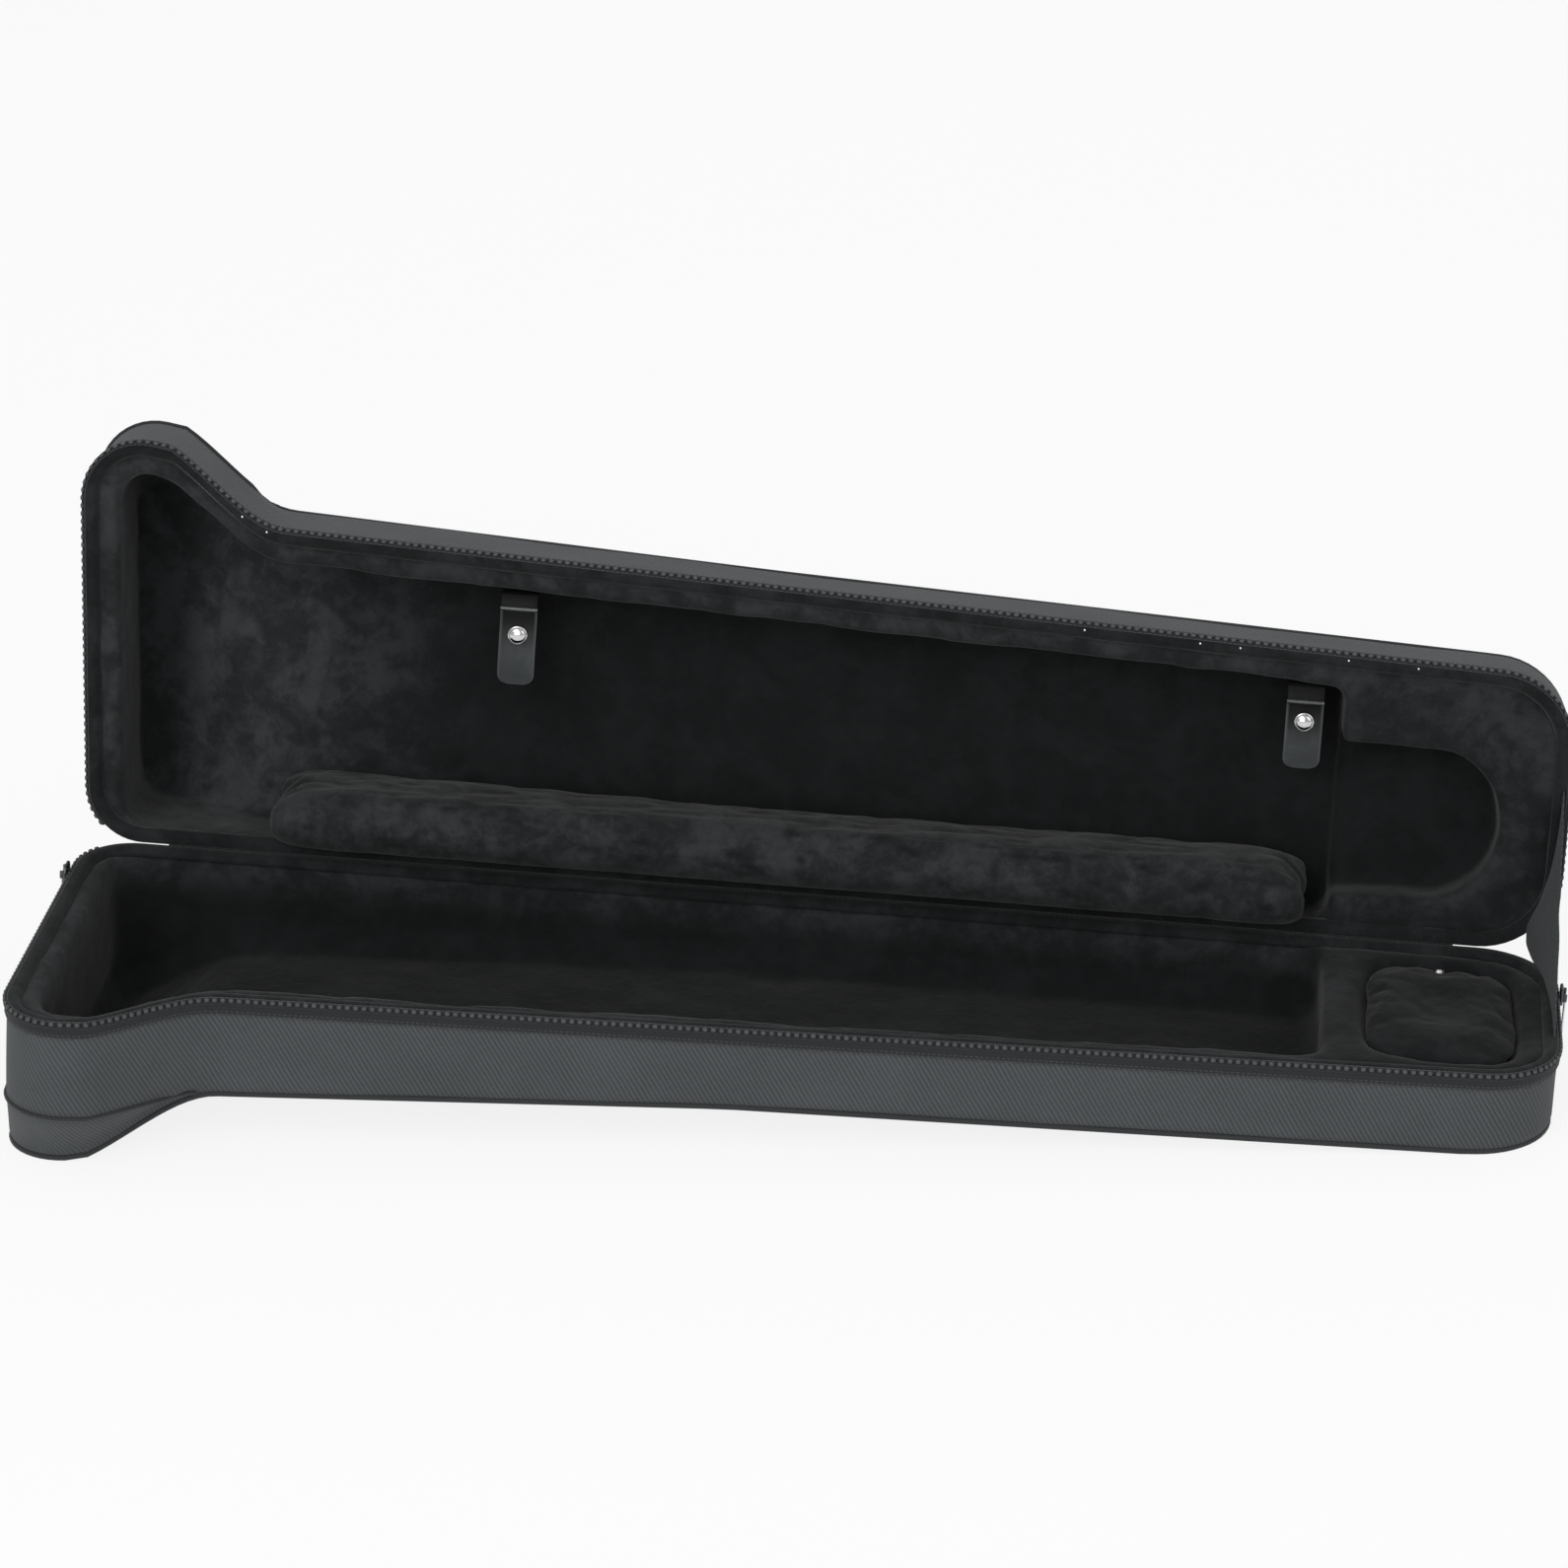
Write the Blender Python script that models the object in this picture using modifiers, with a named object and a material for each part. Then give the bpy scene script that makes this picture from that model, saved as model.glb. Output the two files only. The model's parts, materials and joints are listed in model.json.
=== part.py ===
"""Soft trombone case: two fabric-covered half shells that flare and bulge at the bell end.

The case stands open. Its lid leans back on a fabric spine and is held by a fabric stay at the tail end.
Everything is built in the case's own frame: x runs from the bell end to the tail, y = 0 is the hinge line
with the front at -y, and z = 0 is the plane where the two rims meet. The lid is built closed, above that
plane, and an empty on the hinge line turns it open. A last empty tips the case onto its bell bulge and tail.
"""
import math

import bmesh
import bpy
from mathutils import Matrix, Vector

# Outline and depth of the case, in metres
CASE_LENGTH = 0.920
NECK_WIDTH = 0.206
TAIL_WIDTH = 0.173
BELL_WIDTH = 0.262
BELL_SKEW = 0.013
HALF_DEPTH = 0.0563
NECK_SWELL = 0.012
NECK_END = 0.420
BULGE_DEPTH = 0.0435
FLARE_START = 0.042
FLARE_RISE = 0.022
FLARE_END = 0.115
BULGE_START = 0.010
BULGE_END = 0.115
BELL_PUFF = 0.004
BELL_CORNER = 0.0355
TAIL_CORNER = 0.048
EDGE_BREAK = 0.008
BELL_PRESS = 0.0045
TAIL_REST = 0.055
LID_OPEN_ANGLE = math.radians(99.4)

# Walls and clearances
WALL = 0.005
GAP = 0.0003
RIM_GAP = 0.0005
CUT_OVERRUN = 0.010

# Plush-covered inserts
LINER_DROP = 0.003
RIM_BAND = 0.020
BACK_BAND = 0.0085
BASIN_FLOOR = 0.009
BASIN_ROUND = 0.012
BASIN_TO_TAIL = 0.143
BASIN_CORNER = 0.018
RECESS_BAND = 0.021
RECESS_FLOOR = 0.010
RECESS_ROUND = 0.004
RECESS_TO_TAIL = 0.142
RECESS_CORNER = 0.009
NEST_TO_TAIL = 0.040
NEST_TO_FRONT = 0.050
NEST_TO_BACK = 0.026
NEST_DEPTH = 0.034
NEST_CORNER = 0.046
HOLLOW_SKIN = 0.004
HOLLOW_START = 0.130

# Pad block on the lid's hinge side
BLOCK_START = 0.112
BLOCK_TO_TAIL = 0.153
BLOCK_BACK = 0.0095
BLOCK_WIDTH = 0.0310
BLOCK_REACH = 0.0365
BLOCK_NOSE = 0.026
BLOCK_RIPPLE = 0.0012
BLOCK_STATIONS = 9
RIPPLE_TURN = math.radians(137)

# Accessory compartment at the tail end of the base
PARTITION_WIDTH = 0.024
PAD_LENGTH = 0.096
PAD_SIDE_BAND = 0.023
PAD_BACK_BAND = 0.021
PAD_THICKNESS = 0.010
PAD_CROWN = 0.003
PAD_DISH = 0.0035
PAD_CLEARANCE = 0.0010
PAD_LEDGE = 0.005
POCKET_FLOOR = 0.010
PAD_STUD_RADIUS = 0.0035
PAD_STUD_HEIGHT = 0.0022
PAD_STUD_INSET = 0.016
PAD_SIDES = 20

# Edge piping and the zip that runs round three sides
PIPING_RADIUS = 0.0020
TAPE_THICKNESS = 0.0010
TAPE_HEIGHT = 0.0100
TOOTH_PITCH = 0.0070
TOOTH_HEIGHT = 0.0026
TOOTH_REACH = 0.0020
TOOTH_ROOT = 0.0010
SLIDER_LENGTH = 0.014
SLIDER_HEIGHT = 0.011
SLIDER_THICKNESS = 0.0020
LUG_WIDTH = 0.0016
LUG_REACH = 0.0026
PULL_LENGTH = 0.026
PULL_WIDTH = 0.0075
PULL_THICKNESS = 0.0014
PULL_SEAT_SHARE = 0.75
SLIDER_SINK = 0.002
SLIDER_PARK = 0.004
SLIDER_FAR = 0.004

# Leather straps in the lid
LEFT_STRAP_FROM_BELL = 0.2635
LEFT_FOLD_INSET = 0.0310
LEFT_FLAP_LENGTH = 0.048
LEFT_SNAP_DROP = 0.0165
LEFT_TUBE_DROP = 0.0398
RIGHT_STRAP_TO_TAIL = 0.1660
RIGHT_FOLD_INSET = 0.0320
RIGHT_FLAP_LENGTH = 0.042
RIGHT_SNAP_DROP = 0.0125
RIGHT_TUBE_DROP = 0.0192
STRAP_WIDTH = 0.023
STRAP_THICKNESS = 0.0018
FLAP_END_RADIUS = 0.009
HELD_TUBE_RADIUS = 0.0085
HELD_TUBE_HEIGHT = 0.0160
STRAP_ROOT = 0.012
SNAP_RADIUS = 0.0062
SNAP_HEIGHT = 0.0026
SNAP_SOCKET_RADIUS = 0.0040

# Carrying handle on the base's hinge side
HANDLE_CENTRE = 0.440
HANDLE_SPAN = 0.220
HANDLE_ARCH = 0.026
HANDLE_HEIGHT = -0.0345
WEBBING_WIDTH = 0.022
WEBBING_THICKNESS = 0.0020
WEBBING_FOOT = 0.034
GRIP_LENGTH = 0.100
GRIP_THICKNESS = 0.0110
GRIP_MARGIN = 0.0025
GRIP_ROUND = 0.0033
PATCH_THICKNESS = 0.0014
RIVET_RADIUS = 0.0034
RIVET_HEIGHT = 0.0016

# Fabric spine along the hinge and the stay at the tail end
SPINE_START = 0.050
SPINE_TO_TAIL = 0.062
SPINE_LEG = 0.018
SPINE_THICKNESS = 0.0008
SPINE_BEND = 0.0035
STAY_THICKNESS = 0.0010
STAY_BASE_BACK = 0.046
STAY_BASE_FRONT = 0.122
STAY_LID_LOW = 0.040
STAY_LID_HIGH = 0.104
STAY_BOW = 0.010

# Counts that set how finely curves are cut
ARC_STEPS = 6
FLARE_STATIONS = 7
ROUND_SIDES = 12

COLLECTION_NAME = "trombone_case"
TAIL_REST_START = CASE_LENGTH - TAIL_REST
BASIN_END = CASE_LENGTH - BASIN_TO_TAIL
RECESS_END = CASE_LENGTH - RECESS_TO_TAIL
NEST_END = CASE_LENGTH - NEST_TO_TAIL
BLOCK_END = CASE_LENGTH - BLOCK_TO_TAIL
SPINE_END = CASE_LENGTH - SPINE_TO_TAIL
STRAP_PLACES = {
    "left": (LEFT_STRAP_FROM_BELL, LEFT_FOLD_INSET, LEFT_FLAP_LENGTH, LEFT_SNAP_DROP, LEFT_TUBE_DROP),
    "right": (CASE_LENGTH - RIGHT_STRAP_TO_TAIL, RIGHT_FOLD_INSET, RIGHT_FLAP_LENGTH, RIGHT_SNAP_DROP,
              RIGHT_TUBE_DROP),
}
REST_TILT = math.atan2(NECK_SWELL + BULGE_DEPTH - BELL_PRESS, TAIL_REST_START - BULGE_START)
CORNER_SHIFT_SHARE = 2 - math.sqrt(2)
CREASE_SHARE = 1.23
BOTTOM_FLARE_SHARE = 0.50
CORNER_FIT_SHARE = 0.85
NEST_FIT_SHARE = 0.48
DOME_SHARES = ((0, 1), (0.55, 0.86), (0.9, 0.5), (1, 0), (0, 0))


def fade(x, start, end):
    """Fall smoothly from 1 before start to 0 after end."""
    share = min(max((x - start) / (end - start), 0), 1)
    return 1 - share * share * (3 - 2 * share)


def body_width(x):
    """Give the straight body's width, which tapers from the neck to the tail."""
    return NECK_WIDTH + (TAIL_WIDTH - NECK_WIDTH) * (x - FLARE_END) / (CASE_LENGTH - FLARE_END)


def front_edge(x, side, flare=1):
    """Give y of the front edge at x, a distance side inside the outer wall."""
    bell = BELL_WIDTH - body_width(0)
    return side - body_width(x) - flare * bell * fade(x, FLARE_START - FLARE_RISE, FLARE_END)


def bell_edge(y, side):
    """Give x of the slanted bell end at y."""
    return side + BELL_SKEW * y / BELL_WIDTH


def floor_height(x):
    """Give z of the outer bottom, pressed flat where the standing case touches the ground."""
    swell = NECK_SWELL * min(max((NECK_END - x) / (NECK_END - FLARE_END), 0), 1)
    free = -HALF_DEPTH - swell - BULGE_DEPTH * fade(x, BULGE_START, BULGE_END)
    ground = -HALF_DEPTH + (x - TAIL_REST_START) * math.tan(REST_TILT)
    return max(free, ground)


def fillet(before, corner, after, radius, steps=ARC_STEPS):
    """Round a corner: points of the arc that touches both legs, in the walking direction."""
    corner = Vector(corner)
    first = (Vector(before) - corner).normalized()
    second = (Vector(after) - corner).normalized()
    half = first.angle(second) / 2
    middle = (first + second).normalized()
    centre = corner + middle * radius / math.sin(half)
    start = corner + first * radius / math.tan(half) - centre
    end = corner + second * radius / math.tan(half) - centre
    turn = start.angle_signed(end)
    points = []
    for step in range(steps + 1):
        points.append(centre + Matrix.Rotation(-turn * step / steps, 2) @ start)
    return points


def stations(tail_x, tail_radius):
    """List the x of the points between the two corner arcs."""
    places = []
    for step in range(FLARE_STATIONS):
        places.append(FLARE_START + (FLARE_END - FLARE_START) * step / (FLARE_STATIONS - 1))
    places += [NECK_END, TAIL_REST_START]
    return [x for x in places if x < tail_x - tail_radius]


def plan_chains(side, back, flare=1, tail_x=None, bell_radius=None, tail_radius=None):
    """Give the plan outline as two chains of equal length, front and back, both from bell to tail."""
    tail_x = CASE_LENGTH - side if tail_x is None else tail_x
    bell_radius = max(BELL_CORNER - side, EDGE_BREAK) if bell_radius is None else bell_radius
    tail_radius = max(TAIL_CORNER - side, EDGE_BREAK) if tail_radius is None else tail_radius
    places = stations(tail_x, tail_radius)
    bell_front = front_edge(0, side, flare)
    front_left = (bell_edge(bell_front, side), bell_front)
    back_left = (bell_edge(-back, side), -back)
    bell_radius = min(bell_radius, CORNER_FIT_SHARE * (places[0] - back_left[0]))
    front_right = (tail_x, front_edge(tail_x, side, flare))
    back_right = (tail_x, -back)
    front_line = [Vector((x, front_edge(x, side, flare))) for x in places]
    back_line = [Vector((x, -back)) for x in places]
    front = fillet(back_left, front_left, front_line[0], bell_radius) + front_line
    front += fillet(front_line[-1], front_right, back_right, tail_radius)
    rear = fillet(front_left, back_left, back_line[0], bell_radius) + back_line
    rear += fillet(back_line[-1], back_right, front_right, tail_radius)
    return front, rear


def puff(point):
    """Shift a point of the lower outline outwards at the bell end."""
    return Vector((point.x - BELL_PUFF * fade(point.x, 0, FLARE_END), point.y))


def tray_levels(side, back, floor, edge, top, tail_x=None, bell_radius=None, tail_radius=None):
    """Give a half shell's form as levels from the rim down, each a pair of chains of 3-D points.

    side, back and floor say how far the surface lies inside the outer one; edge is its lower chamfer.
    """
    shape = {"tail_x": tail_x, "bell_radius": bell_radius, "tail_radius": tail_radius}
    upper = plan_chains(side, back, 1, **shape)
    lower = plan_chains(side, back, BOTTOM_FLARE_SHARE, **shape)
    if tail_x is not None:
        shape["tail_x"] = tail_x - edge
    radii = {"bell_radius": bell_radius, "tail_radius": tail_radius}
    radii = {key: value and max(value - edge, EDGE_BREAK / 2) for key, value in radii.items()}
    shape.update(radii)
    bottom = plan_chains(side + edge, back + edge, BOTTOM_FLARE_SHARE, **shape)
    lift = side * math.tan(math.pi / 8)

    def crease(x):
        lowest = floor_height(x) + floor + edge + edge / 4
        return max(lift - HALF_DEPTH * CREASE_SHARE, lowest)

    levels = [[[Vector((p.x, p.y, top)) for p in chain] for chain in upper]]
    levels.append([[Vector((p.x, p.y, crease(p.x))) for p in chain] for chain in upper])
    lower = [[puff(p) for p in chain] for chain in lower]
    bottom = [[puff(p) for p in chain] for chain in bottom]
    levels.append([[Vector((p.x, p.y, floor_height(p.x) + floor + edge)) for p in chain] for chain in lower])
    levels.append([[Vector((p.x, p.y, floor_height(p.x) + floor)) for p in chain] for chain in bottom])
    return levels


def offset_edge(offset):
    """Give the width of the lower chamfer on a surface offset inwards from the outer one."""
    return EDGE_BREAK - CORNER_SHIFT_SHARE * offset


def add_level_verts(bm, levels):
    """Add the levels' points and return them as [level][chain][index]."""
    return [[[bm.verts.new(p) for p in chain] for chain in level] for level in levels]


def join_walls(bm, levels):
    """Skin the walls between successive levels."""
    for upper, lower in zip(levels, levels[1:]):
        join_rings(bm, ring_of(upper), ring_of(lower))


def ring_of(level):
    """Turn a pair of chains into one closed ring."""
    return level[0] + level[1][::-1]


def join_rings(bm, first, second, closed=True):
    """Skin two rings or chains of equal length with quads."""
    count = len(first)
    for index in range(count if closed else count - 1):
        after = (index + 1) % count
        bm.faces.new((first[index], first[after], second[after], second[index]))


def close_level(bm, level):
    """Close a level with strips from its front chain to its back chain."""
    join_rings(bm, level[0], level[1], closed=False)


def tray_solid(levels):
    """Build a solid block from tray levels."""
    bm = bmesh.new()
    verts = add_level_verts(bm, levels)
    join_walls(bm, verts)
    close_level(bm, verts[0])
    close_level(bm, verts[-1])
    return bm


def tray_shell(outer, inner):
    """Build an open half shell between an outer and an inner set of levels."""
    bm = bmesh.new()
    outside = add_level_verts(bm, outer)
    inside = add_level_verts(bm, inner)
    for verts in (outside, inside):
        join_walls(bm, verts)
        close_level(bm, verts[-1])
    join_rings(bm, ring_of(outside[0]), ring_of(inside[0]))
    return bm


def loft(rings, caps=True):
    """Skin a row of rings of 3-D points and close its two ends."""
    bm = bmesh.new()
    verts = [[bm.verts.new(p) for p in ring] for ring in rings]
    for first, second in zip(verts, verts[1:]):
        join_rings(bm, first, second)
    if caps:
        bm.faces.new(verts[0])
        bm.faces.new(verts[-1])
    return bm


def prism(outline, low, high):
    """Extrude a plan outline between two heights."""
    return loft([[Vector((p.x, p.y, z)) for p in outline] for z in (low, high)])


def box(size, centre):
    """Make a box from a unit cube."""
    bm = bmesh.new()
    place = Matrix.Translation(centre) @ Matrix.Diagonal((*size, 1))
    bmesh.ops.create_cube(bm, size=1, matrix=place)
    return bm


def make_material(name, colour, roughness, metallic=0):
    """Make a plain Principled material."""
    material = bpy.data.materials.new(name)
    material.use_nodes = True
    shader = material.node_tree.nodes["Principled BSDF"]
    shader.inputs["Base Color"].default_value = (*colour, 1)
    shader.inputs["Roughness"].default_value = roughness
    shader.inputs["Metallic"].default_value = metallic
    material.diffuse_color = (*colour, 1)
    return material


class Case:
    """Collects the pieces, their cutters and the empties that carry them."""

    def __init__(self):
        for old in list(bpy.data.objects):
            bpy.data.objects.remove(old)
        self.parts = bpy.data.collections.new(COLLECTION_NAME)
        self.cutters = bpy.data.collections.new("cutters")
        for collection in (self.parts, self.cutters):
            bpy.context.scene.collection.children.link(collection)
        self.tilt = self.add_empty("case_frame", (0, 0, 0))
        self.lid = self.add_empty("lid_hinge", (0, 0, 0), self.tilt)
        self.cover = make_material("cover_twill", (0.068, 0.076, 0.078), 0.85)
        self.plush = make_material("plush", (0.018, 0.020, 0.021), 0.95)
        self.piping = make_material("piping", (0.022, 0.024, 0.026), 0.6)
        self.tape = make_material("zip_tape", (0.035, 0.038, 0.040), 0.8)
        self.teeth = make_material("zip_teeth", (0.050, 0.054, 0.057), 0.4)
        self.leather = make_material("leather", (0.010, 0.010, 0.011), 0.35)
        self.chrome = make_material("chrome", (0.75, 0.75, 0.76), 0.12, 1)
        self.webbing = make_material("webbing", (0.012, 0.013, 0.014), 0.75)

    def add_empty(self, name, place, parent=None, turn=(0, 0, 0)):
        """Add an empty that carries other objects."""
        empty = bpy.data.objects.new(name, None)
        empty.location = place
        empty.rotation_euler = turn
        empty.parent = parent
        self.parts.objects.link(empty)
        return empty

    def add(self, name, bm, material, parent, upright=True, smooth=False):
        """Make an object from a bmesh; upright=False mirrors it through the rim plane into the lid."""
        if not upright:
            bmesh.ops.scale(bm, vec=(1, 1, -1), verts=bm.verts)
        bmesh.ops.recalc_face_normals(bm, faces=bm.faces)
        mesh = bpy.data.meshes.new(name)
        bm.to_mesh(mesh)
        bm.free()
        item = bpy.data.objects.new(name, mesh)
        item.parent = parent
        if smooth:
            mesh.shade_smooth()
        if material is None:
            item.hide_render = True
            item.display_type = "WIRE"
            self.cutters.objects.link(item)
        else:
            mesh.materials.append(material)
            self.parts.objects.link(item)
        return item

    def add_curve(self, name, splines, material, parent, radius=0, extrude=0, resolution=1, cyclic=False):
        """Make a tube (radius) or a flat plate (extrude) from lists of points."""
        curve = bpy.data.curves.new(name, "CURVE")
        curve.dimensions = "3D" if radius else "2D"
        curve.fill_mode = "FULL" if radius else "BOTH"
        curve.bevel_depth = radius
        curve.bevel_resolution = resolution
        curve.extrude = extrude
        curve.use_fill_caps = bool(radius) and not cyclic
        for points in splines:
            spline = curve.splines.new("POLY")
            spline.points.add(len(points) - 1)
            spline.use_cyclic_u = cyclic or not radius
            for point, place in zip(spline.points, points):
                point.co = (*Vector(place).to_3d(), 1)
        item = bpy.data.objects.new(name, curve)
        item.parent = parent
        curve.materials.append(material)
        self.parts.objects.link(item)
        return item


def cut(item, cutter):
    """Subtract a cutter from a piece."""
    modifier = item.modifiers.new(cutter.name, "BOOLEAN")
    modifier.operation = "DIFFERENCE"
    modifier.object = cutter


def soften(item, levels=1):
    """Subdivide a coarse cage into a soft form."""
    modifier = item.modifiers.new("soft", "SUBSURF")
    modifier.levels = levels
    modifier.render_levels = levels


def thicken(item, thickness):
    """Give an open strip its thickness, centred on the strip."""
    modifier = item.modifiers.new("thickness", "SOLIDIFY")
    modifier.thickness = thickness
    modifier.offset = 0
    modifier.use_even_offset = True


def turned(case, name, profile, material, parent, place, turn=(0, 0, 0)):
    """Turn a profile of (radius, height) points, given top to bottom, about the z axis."""
    bm = bmesh.new()
    verts = [bm.verts.new((radius, 0, height)) for radius, height in profile]
    for first, second in zip(verts, verts[1:]):
        bm.edges.new((first, second))
    mesh = bpy.data.meshes.new(name)
    bm.to_mesh(mesh)
    bm.free()
    mesh.materials.append(material)
    item = bpy.data.objects.new(name, mesh)
    item.location = place
    item.rotation_euler = turn
    item.parent = parent
    screw = item.modifiers.new("turn", "SCREW")
    screw.steps = ROUND_SIDES
    screw.render_steps = ROUND_SIDES
    screw.use_merge_vertices = True
    screw.merge_threshold = PIPING_RADIUS / 100
    screw.use_smooth_shade = True
    case.parts.objects.link(item)
    return item


def dome_profile(radius, height):
    """Give the profile of a low dome with a short rim."""
    return [(radius * across, height * up) for across, up in DOME_SHARES]


def build_half(case, prefix, parent, upright):
    """Build a half's shell, piping, zip tape and zip teeth."""
    outer = tray_levels(0, 0, 0, offset_edge(0), -RIM_GAP)
    inner = tray_levels(WALL, WALL, WALL, offset_edge(WALL), -RIM_GAP)
    case.add(prefix + "_shell", tray_shell(outer, inner), case.cover, parent, upright)
    add_piping(case, prefix, parent, outer, upright)
    add_zip(case, prefix, parent, upright)


def add_piping(case, prefix, parent, outer, upright):
    """Run a piping cord in the notch of the lower edge."""
    ring = []
    for high, low in zip(ring_of(outer[2]), ring_of(outer[3])):
        away = (high - low)
        away.z = 0
        direction = (away.normalized() - Vector((0, 0, 1))).normalized()
        place = (high + low) / 2 + direction * (PIPING_RADIUS + 3 * GAP)
        if not upright:
            place.z = -place.z
        ring.append(place)
    case.add_curve(prefix + "_piping", [ring], case.piping, parent, radius=PIPING_RADIUS, cyclic=True)


def zip_path(outset):
    """Give the zip's way round bell end, front and tail, a distance outside the wall."""
    front, rear = plan_chains(-outset, -outset)
    turn = ARC_STEPS // 2
    return rear[turn:0:-1] + [rear[0]] + front + [rear[-1]] + rear[-2:-2 - turn:-1]


def add_zip(case, prefix, parent, upright):
    """Add the zip's tape as a band on the wall and its teeth along the tape's upper edge."""
    near = zip_path(GAP)
    far = zip_path(GAP + TAPE_THICKNESS)
    top = -RIM_GAP - TOOTH_HEIGHT - GAP
    rings = []
    for first, second in zip(near, far):
        rings.append([first.to_3d() + Vector((0, 0, top)), second.to_3d() + Vector((0, 0, top)),
                      second.to_3d() + Vector((0, 0, top - TAPE_HEIGHT)),
                      first.to_3d() + Vector((0, 0, top - TAPE_HEIGHT))])
    case.add(prefix + "_zip_tape", loft(rings), case.tape, parent, upright)
    low = -RIM_GAP - TOOTH_HEIGHT
    rings = []
    for index, (place, direction) in enumerate(spaced(zip_path(2 * GAP), TOOTH_PITCH / 2)):
        reach = TOOTH_REACH if index % 2 else TOOTH_ROOT
        tip = place + Vector((direction.y, -direction.x)) * reach
        rings.append([Vector((place.x, place.y, low)), Vector((tip.x, tip.y, low + TOOTH_HEIGHT / 2)),
                      Vector((place.x, place.y, low + TOOTH_HEIGHT))])
    case.add(prefix + "_zip_teeth", loft(rings), case.teeth, parent, upright)


def spaced(path, pitch):
    """Walk along a path and give evenly spaced places with the direction of travel."""
    result = []
    left = pitch / 2
    for first, second in zip(path, path[1:]):
        leg = (second - first).length
        direction = (second - first) / leg
        while left < leg:
            result.append((first + direction * left, direction))
            left += pitch
        left -= leg
    return result


def build_insert(case, name, parent, upright):
    """Build the foam block that fills a half shell, ready for its hollows."""
    offset = WALL + GAP
    levels = tray_levels(offset, offset, offset, offset_edge(offset), -LINER_DROP)
    return case.add(name, tray_solid(levels), case.plush, parent, upright)


def pad_outline(margin=0):
    """Give the accessory pad's rounded outline, grown by a margin."""
    low_x = BASIN_END + PARTITION_WIDTH
    middle_x = low_x + PAD_LENGTH / 2
    low_y = front_edge(middle_x, PAD_SIDE_BAND)
    middle = Vector((middle_x, (low_y - PAD_BACK_BAND) / 2))
    half = Vector((PAD_LENGTH / 2 + margin, (-PAD_BACK_BAND - low_y) / 2 + margin))
    points = []
    for step in range(PAD_SIDES):
        angle = 2 * math.pi * step / PAD_SIDES
        along = math.copysign(math.sqrt(abs(math.cos(angle))), math.cos(angle))
        across = math.copysign(math.sqrt(abs(math.sin(angle))), math.sin(angle))
        points.append(Vector((middle.x + half.x * along, middle.y + half.y * across)))
    return points


def shrink(outline, share):
    """Scale an outline about its middle."""
    middle = sum(outline, Vector((0, 0))) / len(outline)
    return [middle + (p - middle) * share for p in outline]


def build_base(case):
    """Build the base: shell, insert with its basin and pocket, accessory lid, handle and sliders."""
    build_half(case, "base", case.tilt, True)
    insert = build_insert(case, "base_insert", case.tilt, True)
    basin = tray_levels(RIM_BAND, BACK_BAND, BASIN_FLOOR, BASIN_ROUND, CUT_OVERRUN, BASIN_END,
                        BASIN_CORNER, BASIN_CORNER)
    cut(insert, case.add("basin_cutter", tray_solid(basin), None, case.tilt))
    seat_top = -LINER_DROP
    seat_floor = seat_top - PAD_THICKNESS - PAD_CLEARANCE
    ledge = prism(pad_outline(PAD_CLEARANCE), seat_floor, CUT_OVERRUN)
    pocket = prism(pad_outline(-PAD_LEDGE), -HALF_DEPTH + POCKET_FLOOR, CUT_OVERRUN)
    cut(insert, case.add("pad_seat_cutter", ledge, None, case.tilt))
    cut(insert, case.add("pocket_cutter", pocket, None, case.tilt))
    build_accessory_lid(case, seat_floor + GAP)
    build_handle(case)


def build_accessory_lid(case, seat):
    """Build the crowned pad that covers the accessory pocket, hinged along its back edge."""
    outline = pad_outline()
    hinge_y = max(p.y for p in outline)
    middle_x = sum(p.x for p in outline) / len(outline)
    hinge_z = -LINER_DROP
    hinge = case.add_empty("accessory_lid_hinge", (middle_x, hinge_y, hinge_z), case.tilt)
    top = seat + PAD_THICKNESS - PAD_CLEARANCE
    crown = top + PAD_CROWN
    form_shares = ((0.80, seat, 0), (0.98, seat, 0), (1.01, seat, 0.3), (1.0, seat, 0.75), (0.92, top, 0),
                   (0.72, crown, 0), (0.42, crown, 0), (0.20, crown - PAD_DISH, 0))
    rings = []
    for share, height, rise_share in form_shares:
        ring = shrink(outline, share)
        height += rise_share * (top - seat)
        rings.append([Vector((p.x - middle_x, p.y - hinge_y, height - hinge_z)) for p in ring])
    pad = case.add("accessory_lid", loft(rings), case.plush, hinge, smooth=True)
    soften(pad)
    stud_y = -PAD_STUD_INSET
    turned(case, "accessory_lid_stud", dome_profile(PAD_STUD_RADIUS, PAD_STUD_HEIGHT), case.chrome, hinge,
           (0, stud_y, crown - hinge_z + GAP))


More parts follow.
